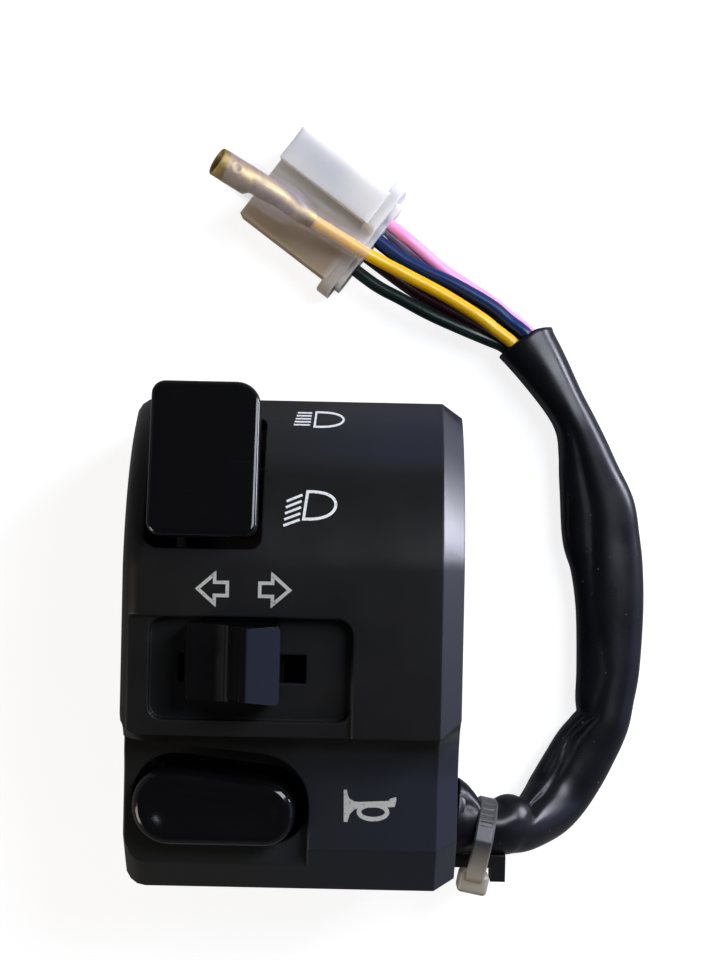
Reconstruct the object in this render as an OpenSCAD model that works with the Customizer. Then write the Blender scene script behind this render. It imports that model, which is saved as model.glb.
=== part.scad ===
// Left-hand handlebar switch cluster, lying on the flat back of its case with the controls facing up.
// The handlebar runs along X through the origin, Y is up the face and Z comes out of the face.

/* [Handlebar] */
// Outside diameter of the handlebar that the two case halves clamp, mm
bar_d = 22.2; // [21.6:0.1:22.6]
// Gap all round between the handlebar and the bore, mm
bar_gap = 0.05; // [0:0.01:0.1]

/* [Case] */
// Width of the case along the handlebar, mm
body_w = 50; // [49:0.5:54]
// Height of the case above the bar axis, mm
top_y = 29.5; // [29.5:0.1:31]
// Height of the case below the bar axis, mm
low_y = 44.4; // [44.2:0.1:46]
// Radius of the curved upper face about the bar axis, mm
crown_r = 33; // [32.8:0.1:33.4]
// Distance below the bar axis where the front face steps down to the horn, mm
shelf_y = 19.9; // [19.7:0.1:20.3]
// Depth of that step, mm
shelf_drop = 7.7; // [7.4:0.1:8]
// Depth of the flat back behind the bar axis, mm
back_depth = 16; // [15:0.5:18]
// Wall thickness of both halves, mm
wall = 2.5; // [2.2:0.1:2.7]
// Width of the flat bevel along the right edge of the front face, mm
edge_bevel = 3.2; // [2.4:0.1:3.6]
// Radius of the round along the left edge of the front face, mm
edge_round = 3.2; // [2.6:0.1:3.4]

/* [Case screws] */
// Thread diameter of the two case screws, mm
case_screw_d = 5; // [4:0.5:5]
// Head diameter of the case screws, mm
case_head_d = 8.4; // [7.6:0.1:9]
// Depth that the heads sit below the flat back, mm
case_head_sink = 3; // [2:0.5:4]

/* [Beam rocker] */
// Width of the rocker face, mm
rocker_w = 16; // [14:0.5:16.4]
// Length of the rocker face, mm
rocker_len = 23.2; // [22:0.2:24]
// Angle that the rocker turns between low and high beam, degrees
rocker_swing = 10; // [7:0.5:10.5]
// Tilt of the rocker face against the bar plane while high beam is on, degrees
rocker_tilt = 13.4; // [12.5:0.1:14]
// Diameter of the rocker pivot pin, mm
pivot_d = 2.5; // [2:0.1:2.8]

/* [Turn slider] */
// Length of the slide knob along the bar, mm
knob_len = 13.8; // [12.6:0.1:14]
// Height of the knob crest above the pocket floor, mm
knob_h = 11; // [9:0.2:12]
// Travel of the knob from the middle to each side, mm
slide_travel = 5; // [4:0.1:5.2]
// Width of the slot that the knob stem runs in, mm
slot_w = 4.2; // [3.8:0.1:4.6]

/* [Horn button] */
// Length of the horn button along the bar, mm
horn_len = 24.2; // [22:0.2:24.4]
// Height of the horn button at its tall left end, mm
horn_tall = 12.2; // [11:0.1:12.4]
// Travel of the horn button, mm
horn_travel = 2.5; // [1.5:0.1:2.6]

/* [Wiring] */
// Outside diameter of the soft sleeve where it leaves the case, mm
sleeve_d = 8.4; // [7.6:0.1:8.6]
// Outside diameter of one insulated wire, mm
wire_d = 2.1; // [1.8:0.05:2.1]
// Width of the nylon connector body, mm
plug_w = 17.2; // [16:0.2:19]
// Length of the nylon connector from flange to mouth, mm
plug_len = 19.5; // [17:0.5:22]
// Outside diameter of the bullet terminal, mm
bullet_d = 4.7; // [4.4:0.1:5]
// Width of the cable tie band, mm
tie_w = 3; // [2.4:0.1:3.4]

/* [Fits] */
// Gap round the moving controls, mm
run_gap = 0.5; // [0.4:0.05:0.6]
// Radial gap of pins and stems that turn or slide in a bore, mm
pin_gap = 0.06; // [0.03:0.01:0.1]
// Gap between pieces that sit against each other, mm
seat_gap = 0.1; // [0.05:0.01:0.12]

/* [Hidden] */
$fn = 48;

charcoal = [0.16, 0.16, 0.17];
gloss = [0.06, 0.06, 0.06];
brass = [0.76, 0.6, 0.3];
steel = [0.7, 0.7, 0.72];
phenolic = [0.13, 0.1, 0.09];
nylon = [0.9, 0.89, 0.85];

// Case measures
bore_r = bar_d / 2 + bar_gap;
half_w = body_w / 2;
bevel_head = 0.65;
bevel_foot = 0.45;
crease_y = 4.5;
face_z = sqrt(crown_r * crown_r - crease_y * crease_y);
shelf_z = face_z - shelf_drop;
cove_r = shelf_drop - 0.2;
ramp_y = low_y - 7;
ramp_deg = 43;
back_r = 10;
saddle_len = 6;
saddle_wall = 3.2;
rib_top = face_z - 0.6;

// Case screw measures
screw_x = 2.4;
screw_up = 18;
screw_low = 19;
post_r = case_screw_d / 2 + 2.1;
insert_r = case_screw_d / 2 + 0.8;
insert_len = 9;
case_head_h = 3;
head_z = case_head_sink + case_head_h - back_depth;

// Beam switch measures
rocker_x = -13.2;
pivot_y = 18;
pivot_z = crown_r - 8;
face_w = 9.05;
mouth_low = pivot_y - 10.8;
mouth_top = pivot_y + 8.4;
mouth_x0 = rocker_x - rocker_w / 2 - run_gap;
mouth_x1 = rocker_x + rocker_w / 2 + run_gap;
lug_w = 2.5;
pin_x0 = mouth_x0 - 2.2;
pin_x1 = mouth_x1 + 2;
plunger_len = 10;
plunger_r = 1.6;
seesaw_z = pivot_z - plunger_len - 1;
seesaw_swing = 8;
seesaw_half = 6.5;
fulcrum_r = 0.5;
beam_contact_y = 5.2;
board_t = 1.6;
beam_board_z = seesaw_z - 4;
beam_ledge_z = beam_board_z + board_t;
beam_screw_dx = 7.5;
beam_screw_y = 18.5;

// Turn switch measures
slide_x = -7.2;
slide_y = -10.2;
knob_y = -8.8;
block_sink = 0.7;
block_edge = 0.15;
pocket_sink = 2;
pocket_z = face_z - block_sink - pocket_sink;
pocket_x0 = -20.7;
pocket_x1 = 8.8;
pocket_y0 = -17.7;
pocket_y1 = -2.7;
block_x1 = pocket_x1 + block_edge;
block_y1 = pocket_y1 + block_edge;
pocket_corner = 2.2;
knob_corner = 1.2;
knob_pad = 5.2;
knob_flank = 6.9;
pocket_floor_t = 2.2;
floor_under = pocket_z - pocket_floor_t;
stem_len = 7.8;
stem_w = slot_w - 0.4;
carriage_len = 12;
carriage_w = 7;
carriage_top = floor_under - 0.4;
carriage_low = floor_under - 7.8;
stem_end = carriage_top - 3.4;
turn_board_half = 3.6;
saddle_top = sqrt((bore_r + saddle_wall) ^ 2 - (slide_y + turn_board_half) ^ 2);
turn_board_z = max(carriage_low - 6.8, saddle_top + 0.4);
turn_board_top = turn_board_z + board_t;
turn_post_x = [slide_x - 13.4, slide_x + 13.4];
ball_r = 1.3;
ball_x = slide_x - 4.1;
ball_z = carriage_low + 2.2;
rail_y0 = slide_y + carriage_w / 2 + 1.1;
foot_dx = 3.5;
contact_y = slide_y + 2.4;
pad_dx = 7;

// Horn measures
horn_x1 = 0.9;
horn_x0 = horn_x1 - horn_len;
horn_y0 = -36.8;
horn_y1 = horn_y0 + horn_tall;
horn_slope = 2.9;
horn_cx = (horn_x0 + horn_x1) / 2;
horn_cy = -31.2;
horn_floor = shelf_z - 2.5;
horn_floor_t = 2.5;
horn_rise = 5.3;
horn_top = horn_floor + horn_rise;
horn_low = horn_floor - 3.5;
horn_board_t = 2;
horn_board_z = horn_low - 8;
horn_board_top = horn_board_z + horn_board_t;
horn_moat = 0.65;
horn_dish = 0.8;
horn_dish_r = 24;
horn_post = [[-18, -21.2], [-4, -39.4]];
horn_stem_r = 2;
contact_t = 0.8;
horn_bar_z = horn_low - seat_gap - contact_t;
rivet_dx = 5.4;
spring_r = 3.2;
spring_wire = 0.7;

// Small screw measures
small_r = 1;
small_head_r = 1.7;
small_head_h = 1.2;
small_len = 4.8;
post_small_r = 2;

// Cable outlet measures
exit_y = -36.8;
exit_z = 0;
exit_gap = 0.3;
sleeve_in = 5;
tab_y0 = -44.2;
tab_y1 = -42.1;
tab_z0 = -4.6;
tab_z1 = -0.3;
tab_len = 6.6;
tie_x = half_w + 4.2;
tie_t = 1.1;

// Plug measures, in a frame with X from the flange to the mouth and Z up from the surface
plug_at = [9.6, 56.4, -back_depth];
plug_turn = 143.6;
plug_low = 8;
plug_high = 11.5;
plug_flange_t = 2.2;
plug_skin = 1.3;
plug_rows = [2.4, 6.1];
plug_ways = [for (w = [[-5, 0], [-5, 1], [-1.9, 0], [-1.9, 1], [1.2, 0], [4.3, 1]]) [w[0], plug_rows[w[1]]]];
wire_in = 3;
mouth_depth = 10.5;

// Bullet measures, in a frame with X from the socket end to the wire
bullet_at = [-14.35, 67.65, plug_low + 12 - back_depth];
bullet_turn = -28.6;
bullet_rise = 20;
bullet_len = 18.5;
bullet_bore_r = 1.95;
bullet_wall_gap = 0.3;

// Cord routes, mm: centre points, then half width, half height and roll of the section for the sleeve
sleeve_route = [
    [half_w - sleeve_in, exit_y, exit_z, 1, 1, 0],
    [half_w, exit_y, exit_z, 1, 1, 0],
    [29.2, -37, -0.3, 1, 1, 0],
    [32.8, -37.2, -2, 1.08, 1, 0],
    [36.4, -36.9, -5, 1.16, 0.96, 0],
    [40.4, -35.2, -8.6, 1, 0.98, 0],
    [43.9, -30.9, -11.6, 1.16, 0.97, 0],
    [46.9, -26, -11.9, 1.2, 0.94, 0],
    [49.2, -19.6, -12.1, 1.06, 0.9, 0],
    [50.4, -11.3, -12.3, 1.2, 0.86, 0],
    [50.6, -4.2, -12.4, 1.3, 0.83, 0],
    [50.2, 4, -12.5, 1.38, 0.81, 0],
    [49.2, 10.5, -12.5, 1.46, 0.8, 0],
    [47.6, 17.8, -12.4, 1.3, 0.83, 0],
    [46, 24.1, -12, 1.02, 0.92, 0],
    [44, 29.2, -11.7, 0.86, 0.97, 0],
    [40.2, 35.1, -11.7, 1, 0.97, 0],
    [35.9, 41.3, -11.7, 1.16, 0.97, 0]];
loom_route = [[12, 24.4, 6], [12, 22, 8.5], [12, 17, 13.5], [12.4, 9, 17], [12.5, 0, 18], [12.5, -9, 17],
    [12.6, -18, 13], [13, -26, 7], [14.2, -32.5, 2], [16.2, -36.2, 0.2],
        [half_w - sleeve_in - 0.7, exit_y, exit_z]];
yellow_route = [[34, 40.7, -9.1], [31.3, 42.7, -8.9], [28.3, 44.9, -8.6], [22.3, 48.4, -8.1],
    [16.2, 51.4, -7.3], [9.6, 54.6, -5.9], [5, 57.1, -4], [1, 59.3, -2.4]];
blue_route = [[36.3, 42.3, -9.6], [33.4, 44.5, -9.8], [30.4, 46.9, -9.9], [24.4, 50.2, -9.9],
    [19, 52.6, -9.9],
    [14.8, 54.9, -9.9], [8.4, 59.7, -9.9]];
pink_route = [[36.9, 42.7, -12.2], [34, 45, -12.3], [30.8, 47.5, -12.4], [27, 49.9, -12.1],
    [22.4, 52.8, -11.5],
    [16.6, 57.4, -9.9], [10.2, 62.2, -9.9]];
grey_route = [[35.6, 41.9, -14], [33, 45, -14.5], [30.2, 48.3, -14.6], [26.3, 51.4, -14.3],
    [21.6, 54.2, -13.9],
    [16.6, 57.4, -13.6], [10.2, 62.2, -13.6]];
black_route = [[34.9, 41.4, -11.5], [32.2, 43.5, -12], [29.2, 45.6, -12.8], [24.6, 48.4, -13.4],
    [19.3, 51.8, -13.6],
    [14.8, 54.9, -13.6], [8.4, 59.7, -13.6]];
brown_route = [[33.6, 40.5, -13.3], [30.9, 42, -13.2], [28.4, 43.3, -13.2], [24.4, 45.6, -13.4],
    [18.6, 48.7, -13.6],
    [13, 52.5, -13.6], [6.5, 57.2, -13.6]];
green_route = [[32.8, 40.1, -11], [30.2, 41.2, -10.7], [26.5, 42.6, -10.2], [20.5, 45.1, -9.9],
    [15.4, 47.7, -9.9],
    [11, 50, -9.9], [4.6, 54.7, -9.9]];

function unit(v) = v / norm(v);
function arc(c, r, a0, a1, n) =
    [for (i = [0:n]) c + r * [cos(a0 + (a1 - a0) * i / n), sin(a0 + (a1 - a0) * i / n)]];
function turn180(a) = a > 180 ? a - 360 : a < -180 ? a + 360 : a;
function fillet(p, q, s, r, n) =
    let (u = unit(p - q), v = unit(s - q), h = acos(u * v) / 2)
    let (c = q + unit(u + v) * r / sin(h), a = q + u * r / tan(h) - c, b = q + v * r / tan(h) - c)
    let (a0 = atan2(a[1], a[0]), da = turn180(atan2(b[1], b[0]) - a0))
    arc(c, r, a0, a0 + da, n);
function rounded(p, r, n = 6) =
    [for (i = [0:len(p) - 1]) each fillet(p[(i + len(p) - 1) % len(p)], p[i], p[(i + 1) % len(p)], r[i], n)];

// Outline of the front half in the Y-Z plane, moved inwards by c, and by a share of c at head and foot
function front_outline(c, head = 1, foot = 1) =
    let (h = head * c, f = foot * c)
    let (a0 = acos((top_y - h) / (crown_r - c)), a1 = asin((face_z - c) / (crown_r - c)))
    let (cove = [-shelf_y - cove_r, shelf_z + cove_r], ca = asin((face_z - c - cove[1]) / (cove_r + c)))
    let (lean = c / cos(ramp_deg), t = tan(ramp_deg))
    concat([[top_y - h, 0]],
        arc([0, 0], crown_r - c, a0, a1, 16),
        arc(cove, cove_r + c, ca, -90, 10),
        [[-ramp_y + (lean - c) / t, shelf_z - c],
         [-low_y + f, shelf_z + (ramp_y - low_y + f) * t - lean],
         [-low_y + f, 0]]);
// Outline of the rear half in the Y-Z plane, moved inwards in the same way
function rear_outline(c, head = 1, foot = 1) =
    let (h = head * c, f = foot * c)
    concat([[-low_y + f, 0]],
        arc([-low_y + back_r, back_r - back_depth], back_r - f, 180, 270, 8),
        arc([top_y - back_r, back_r - back_depth], back_r - h, 270, 360, 8),
        [[top_y - h, 0]]);
// Outline of the horn button seen from the front, grown by g
function horn_outline(g) =
    rounded([[horn_x0 - g, horn_y1 + g], [horn_x0 - g, horn_y0 - g], [horn_x1 + g, horn_y0 - g],
        [horn_x1 + g, horn_y1 - horn_slope + g]], [5.4 + g, 5.6 + g, 4.6 + g, 4.6 + g], 8);

function ring_at(x, p) = [for (q = p) [x, q[0], q[1]]];
function tube_faces(n, m) = concat(
    [[for (i = [0:m - 1]) i]],
    [for (k = [0:n - 2], i = [0:m - 1]) [k * m + i, (k + 1) * m + i, (k + 1) * m + (i + 1) % m]],
    [for (k = [0:n - 2], i = [0:m - 1]) [k * m + i, (k + 1) * m + (i + 1) % m, k * m + (i + 1) % m]],
    [[for (i = [m - 1:-1:0]) (n - 1) * m + i]]);
function along(p, i) = unit(p[min(i + 1, len(p) - 1)] - p[max(i - 1, 0)]);
function tube_ring(c, t, up, a, b, m) =
    let (n = unit(cross(up, t)), w = cross(t, n))
    [for (j = [0:m - 1]) c + a * cos(360 * j / m) * n + b * sin(360 * j / m) * w];

module loft(rings)
    polyhedron([for (r = rings) each r], tube_faces(len(rings), len(rings[0])), convexity = 8);
module tube(p, r, m, up = [0, 0, 1])
    loft([for (i = [0:len(p) - 1]) tube_ring(p[i], along(p, i), up, r, r, m)]);
module along_x(x0, x1) translate([x0, 0, 0]) rotate([90, 0, 90]) linear_extrude(x1 - x0) children();
module along_y(y0, y1) translate([0, y1, 0]) rotate([90, 0, 0]) linear_extrude(y1 - y0) children();
module box(x, y, z) translate([x[0], y[0], z[0]]) cube([x[1] - x[0], y[1] - y[0], z[1] - z[0]]);
module rod(at, r, z0, z1) translate([at[0], at[1], z0]) cylinder(r = r, h = z1 - z0);
module rod_x(y, z, r, x0, x1) translate([x0, y, z]) rotate([0, 90, 0]) cylinder(r = r, h = x1 - x0);
module rod_y(x, z, r, y0, y1) translate([x, y1, z]) rotate([90, 0, 0]) cylinder(r = r, h = y1 - y0);
module coil(r, wire, h, turns) {
    n = turns * 14;
    pts = [for (i = [0:n]) [r * cos(360 * turns * i / n), r * sin(360 * turns * i / n),
        wire + (h - 2 * wire) * i / n]];
    tube(pts, wire / 2, 6);
}

// Both halves share the same edge treatment, so that they meet flush at the split
module front_body() intersection() {
    loft(concat(
        [ring_at(-half_w - 1, front_outline(edge_round))],
        [for (a = [90, 67.5, 45, 22.5, 0])
            ring_at(edge_round * (1 - sin(a)) - half_w, front_outline(edge_round * (1 - cos(a))))],
        [ring_at(half_w - edge_bevel, front_outline(0)),
            ring_at(half_w + 0.5, front_outline(edge_bevel + 0.5, bevel_head, bevel_foot))]));
    box([-half_w, half_w], [-60, 60], [-1, 60]);
}
module rear_body() intersection() {
    loft(concat(
        [ring_at(-half_w - 1, rear_outline(edge_round))],
        [for (a = [90, 67.5, 45, 22.5, 0])
            ring_at(edge_round * (1 - sin(a)) - half_w, rear_outline(edge_round * (1 - cos(a))))],
        [ring_at(half_w - edge_bevel, rear_outline(0)),
            ring_at(half_w + 0.5, rear_outline(edge_bevel + 0.5, bevel_head, bevel_foot))]));
    box([-half_w, half_w], [-60, 60], [-60, 1]);
}

module saddles() {
    rod_x(0, 0, bore_r + saddle_wall, -half_w, saddle_len - half_w);
    rod_x(0, 0, bore_r + saddle_wall, half_w - saddle_len, half_w);
}

// Thick places inside the front half: floors, posts, lugs, ledges and the detent rail
module front_inside() {
    saddles();
    rod([screw_x, screw_up], post_r, 0, rib_top);
    rod([screw_x, -screw_low], post_r, 0, rib_top);
    box([-half_w, pocket_x1 + 2.1], [-shelf_y, pocket_y1 + 2.2], [floor_under, rib_top]);
    box([-half_w, 5.5], [-low_y, -shelf_y], [horn_floor - horn_floor_t, rib_top]);
    box([-half_w, mouth_x0], [pivot_y - 6, pivot_y + 7], [beam_ledge_z, rib_top]);
    box([mouth_x1, mouth_x1 + lug_w], [pivot_y - 6, pivot_y + 7], [beam_ledge_z, rib_top]);
    box([-half_w, rocker_x - beam_screw_dx + 2], [beam_screw_y - 3, beam_screw_y + 3],
        [beam_ledge_z, beam_ledge_z + 3.4]);
    box([rocker_x + beam_screw_dx - 2, mouth_x1 + lug_w], [beam_screw_y - 3, beam_screw_y + 3],
        [beam_ledge_z, beam_ledge_z + 3.4]);
    for (x = turn_post_x) rod([x, slide_y], post_small_r, turn_board_top, floor_under + 0.5);
    for (p = horn_post) rod(p, post_small_r, horn_board_top, rib_top);
    difference() {
        box([slide_x - 12.6, slide_x + 12.6], [rail_y0, rail_y0 + 1.8],
            [carriage_low - 0.4, floor_under + 0.5]);
        for (i = [-1:1])
            rod([ball_x + i * slide_travel, rail_y0 - 0.7], 1.2, carriage_low - 1, floor_under - 0.3);
    }
}

// Pilot holes for the small board screws
module small_pilots() {
    for (s = [-1, 1])
        rod([rocker_x + s * beam_screw_dx, beam_screw_y], small_r, beam_board_z,
            beam_board_z + small_len + 0.4);
    for (x = turn_post_x) rod([x, slide_y], small_r, turn_board_z, turn_board_z + small_len + 0.4);
    for (p = horn_post) rod(p, small_r, horn_board_z, horn_board_z + small_len + 0.4);
}

module front_case() color(charcoal) difference() {
    union() {
        difference() {
            front_body();
            along_x(wall - half_w, half_w - wall) polygon(front_outline(wall));
        }
        intersection() {
            front_body();
            front_inside();
        }
    }
    rod_x(0, 0, bore_r, -half_w - 1, half_w + 1);
    rod_x(exit_y, exit_z, sleeve_d / 2 + exit_gap, half_w - wall - 4, half_w + 1);
    for (y = [screw_up, -screw_low]) rod([screw_x, y], insert_r, -1, insert_len + 0.5);
    translate([0, 0, face_z - block_sink]) linear_extrude(block_sink + 1)
        polygon(rounded([[-half_w - 1, -shelf_y - 0.1], [block_x1, -shelf_y - 0.1],
            [block_x1, block_y1], [-half_w - 1, block_y1]],
            [0.2, 0.2, pocket_corner + block_edge, 0.2]));
    translate([0, 0, pocket_z]) linear_extrude(5)
        polygon(rounded([[pocket_x0, pocket_y0], [pocket_x1, pocket_y0],
            [pocket_x1, pocket_y1], [pocket_x0, pocket_y1]],
            [for (i = [1:4]) pocket_corner]));
    box([slide_x - stem_len / 2 - slide_travel - 0.4, slide_x + stem_len / 2 + slide_travel + 0.4],
        [slide_y - slot_w / 2, slide_y + slot_w / 2], [floor_under - 1, pocket_z + 1]);
    translate([0, 0, beam_ledge_z + 3.4]) linear_extrude(face_z - beam_ledge_z - 1)
        polygon(rounded([[mouth_x0, mouth_low], [mouth_x1, mouth_low],
            [mouth_x1, mouth_top], [mouth_x0, mouth_top]],
            [1.8, 1.8, 1, 1]));
    rod_x(pivot_y, pivot_z, pivot_d / 2, pin_x0, mouth_x1 + lug_w + 1);
    translate([0, 0, horn_floor]) linear_extrude(12)
        polygon(rounded([[-half_w - 6, -20.3], [-half_w - 6, -low_y - 6], [2.8, -low_y - 6], [2.8, -23.8]],
            [1, 1, 1, 8], 8));
    translate([horn_moat, horn_moat, horn_low - horn_travel - 0.5]) linear_extrude(15)
        polygon(horn_outline(0.35 + horn_moat));
    small_pilots();
}

module rear_case() color(charcoal) difference() {
    union() {
        difference() {
            rear_body();
            along_x(wall - half_w, half_w - wall) polygon(rear_outline(wall));
        }
        intersection() {
            rear_body();
            union() {
                saddles();
                rod([screw_x, screw_up], case_head_d / 2 + 2.4, -back_depth, 0);
                rod([screw_x, -screw_low], case_head_d / 2 + 2.4, -back_depth, 0);
            }
        }
        box([half_w - wall, half_w + tab_len], [tab_y0, tab_y1], [tab_z0, tab_z1]);
        box([half_w + tab_len, half_w + tab_len + 2.4], [tab_y0 - 2.2, tab_y1], [tab_z0 - 0.8, tab_z1]);
    }
    rod_x(0, 0, bore_r, -half_w - 1, half_w + 1);
    rod_x(exit_y, exit_z, sleeve_d / 2 + exit_gap, half_w - wall - 4, half_w + 1);
    for (y = [screw_up, -screw_low]) {
        rod([screw_x, y], case_screw_d / 2 + 0.2, -back_depth - 1, 1);
        rod([screw_x, y], case_head_d / 2 + 0.4, -back_depth - 1, head_z);
    }
}

module case_screws() color(steel) for (y = [screw_up, -screw_low]) difference() {
    union() {
        rod([screw_x, y], case_screw_d / 2 - seat_gap, head_z - 1, insert_len - 1);
        rod([screw_x, y], case_head_d / 2, head_z - case_head_h, head_z);
    }
    for (a = [0, 90]) translate([screw_x, y, head_z - case_head_h]) rotate([0, 0, a])
        cube([4.4, 1, 3.2], center = true);
}

module screw_inserts() color(brass) for (y = [screw_up, -screw_low]) difference() {
    rod([screw_x, y], insert_r - 0.03, 0.2, insert_len);
    rod([screw_x, y], case_screw_d / 2, -1, insert_len + 1);
}

// Rocker in its own frame: pivot at the origin, face up
module rocker_shape() {
    k = rocker_len / 23.2;
    intersection() {
        along_x(rocker_x - rocker_w / 2, rocker_x + rocker_w / 2)
            polygon([[-11.2 * k, face_w - 0.9], [-10.4 * k, face_w], [11.2 * k, face_w],
                [12 * k, face_w - 0.9],
                [11.5, 4.5], [8.3, 2.9], [7.2, -3.5], [3, -5.5],
                    [-3, -5.5], [-7.5, -3.5], [-9.8, 1.5], [-10.8 * k, 5.5]]);
        translate([rocker_x, 0, -20]) linear_extrude(40)
            polygon(rounded([[-rocker_w / 2, -11.2 * k], [rocker_w / 2, -11.2 * k], [rocker_w / 2, 12 * k],
                [-rocker_w / 2, 12 * k]], [2.2, 1.8, 3.6, 2]));
    }
}

module beam_rocker() color(gloss) translate([0, pivot_y, pivot_z]) difference() {
    union() {
        rotate([-rocker_tilt, 0, 0]) rocker_shape();
        rotate([-rocker_swing / 2, 0, 0]) rod([rocker_x, 0], plunger_r + 1.5, -7.4, -4);
    }
    rod_x(0, 0, pivot_d / 2 + pin_gap, -half_w, half_w);
    rotate([-rocker_swing / 2, 0, 0]) rod([rocker_x, 0], plunger_r + seat_gap, -9, -1.9);
}

module beam_pivot_pin() color(steel) rod_x(pivot_y, pivot_z, pivot_d / 2 - 0.02, pin_x0 + 0.1, pin_x1);

module beam_plunger() color(nylon) translate([0, pivot_y, pivot_z]) rotate([-rocker_swing / 2, 0, 0]) {
    rod([rocker_x, 0], plunger_r, plunger_r - plunger_len, -5);
    translate([rocker_x, 0, plunger_r - plunger_len]) sphere(r = plunger_r);
}

module beam_plunger_spring() color(steel) translate([rocker_x, pivot_y, pivot_z])
    rotate([-rocker_swing / 2, 0, 0]) translate([0, 0, -5]) coil(1.2, 0.5, 3, 4);

module beam_contact() color(brass) translate([rocker_x, pivot_y, seesaw_z]) rotate([seesaw_swing / 2, 0, 0]) {
    box([-2.2, 2.2], [-seesaw_half, seesaw_half], [0, 0.8]);
    rod_x(0, 0, fulcrum_r, -2.2, 2.2);
}

module beam_board() color(phenolic) difference() {
    box([mouth_x0 - 0.5, screw_x - post_r - 0.4], [pivot_y - 6.8, pivot_y + 7],
        [beam_board_z, beam_ledge_z - 0.02]);
    for (s = [-1, 1])
        rod([rocker_x + s * beam_screw_dx, beam_screw_y], small_r + 0.2, beam_board_z - 1, beam_ledge_z + 1);
    for (s = [-1:1]) rod([rocker_x, pivot_y + s * beam_contact_y], 0.8, beam_board_z - 1, beam_ledge_z + 1);
}

module beam_terminals() color(brass) for (s = [-1:1]) {
    drop = s == 0 ? fulcrum_r : beam_contact_y * sin(seesaw_swing / 2);
    rod([rocker_x, pivot_y + s * beam_contact_y], 0.75, beam_board_z - 2.5, beam_ledge_z);
    rod([rocker_x, pivot_y + s * beam_contact_y], 1.6, beam_ledge_z, seesaw_z - drop - 0.12);
}

module turn_knob() color(gloss) {
    x0 = slide_x - 8.1 * knob_len / 13.8;
    x1 = x0 + knob_len;
    crest = pocket_z + knob_h;
    cx = slide_x + 0.7;
    intersection() {
        along_y(knob_y - 7, knob_y + 6) polygon(concat(
            [[x0, pocket_z + 0.4], [x1, pocket_z + 0.4], [x1, pocket_z + knob_flank],
             [cx + 0.9, crest - 0.4], [cx + 0.3, crest], [cx - 0.5, crest]],
            [for (i = [1:8]) let (t = i / 9)
                [cx - 0.5 + (x0 + 0.9 - cx + 0.5) * t, crest - (knob_h - knob_pad) * (1 - (1 - t) ^ 4)]],
            [[x0 + 0.9, pocket_z + knob_pad + 0.15], [x0 + 0.3, pocket_z + knob_pad],
             [x0, pocket_z + knob_pad - 0.6]]));
        along_x(x0, x1) polygon([[knob_y - 6.8, pocket_z], [knob_y + 5.6, pocket_z],
            [knob_y + 5.5, pocket_z + 2], [knob_y + 5.1, crest],
            [knob_y - 5.3, crest], [knob_y - 6.6, pocket_z + 4], [knob_y - 6.8, pocket_z + 2]]);
        translate([0, 0, pocket_z]) linear_extrude(knob_h + 1)
            polygon(rounded([[x0, knob_y - 5.6], [cx, knob_y - 5.6], [x1, knob_y - 6.6],
                [x1, knob_y + 5.6], [x0, knob_y + 5.6]],
                [knob_corner, 2, knob_corner, knob_corner, knob_corner]));
    }
    difference() {
        box([slide_x - stem_len / 2, slide_x + stem_len / 2], [slide_y - stem_w / 2, slide_y + stem_w / 2],
            [stem_end + seat_gap, pocket_z + 0.6]);
        rod([slide_x, slide_y], 1.25, stem_end - 1, pocket_z - 0.2);
    }
}

module turn_carriage() color(gloss) difference() {
    box([slide_x - carriage_len / 2, slide_x + carriage_len / 2],
        [slide_y - carriage_w / 2, slide_y + carriage_w / 2],
        [carriage_low, carriage_top]);
    box([slide_x - stem_len / 2 - seat_gap, slide_x + stem_len / 2 + seat_gap],
        [slide_y - stem_w / 2 - seat_gap, slide_y + stem_w / 2 + seat_gap], [stem_end, carriage_top + 1]);
    rod([slide_x, slide_y], 1.4, carriage_low - 1, carriage_top);
    rod([slide_x, slide_y], 2.4, carriage_low - 1, carriage_low + 1.6);
    rod_y(ball_x, ball_z, ball_r + seat_gap, slide_y - 1.2, slide_y + carriage_w);
}

module turn_carriage_screw() color(steel) {
    rod([slide_x, slide_y], 1.2, carriage_low + 0.8, pocket_z - 0.8);
    rod([slide_x, slide_y], 2.2, carriage_low + 0.1, carriage_low + 1.5);
}

module turn_detent_ball() color(steel) translate([ball_x, rail_y0 - 0.3 - ball_r, ball_z]) sphere(r = ball_r);

module turn_detent_spring() color(steel) translate([ball_x, slide_y - 1.1, ball_z]) rotate([-90, 0, 0])
    coil(0.95, 0.4, rail_y0 - 0.4 - 2 * ball_r - slide_y + 1, 4);

module turn_contact() color(brass) {
    box([slide_x - 4.6, slide_x + 4.6], [slide_y - 2, contact_y + 1],
        [carriage_low - 0.7, carriage_low - seat_gap]);
    for (s = [-1, 1]) rod([slide_x + s * foot_dx, contact_y], 0.9, turn_board_top + 0.7, carriage_low - 0.5);
}

module turn_board() color(phenolic) difference() {
    box([turn_post_x[0] - 1.7, turn_post_x[1] + 2], [slide_y - turn_board_half, slide_y + turn_board_half],
        [turn_board_z, turn_board_top - 0.02]);
    for (x = turn_post_x) rod([x, slide_y], small_r + 0.2, 0, 20);
    for (s = [-1:1]) rod([slide_x + s * pad_dx, contact_y], 0.8, 0, 20);
}

module turn_terminals() color(brass) for (s = [-1:1]) {
    rod([slide_x + s * pad_dx, contact_y], 0.75, turn_board_z - 2.2, turn_board_top);
    rod([slide_x + s * pad_dx, contact_y], 1.1, turn_board_top, turn_board_top + 0.5);
}

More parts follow.
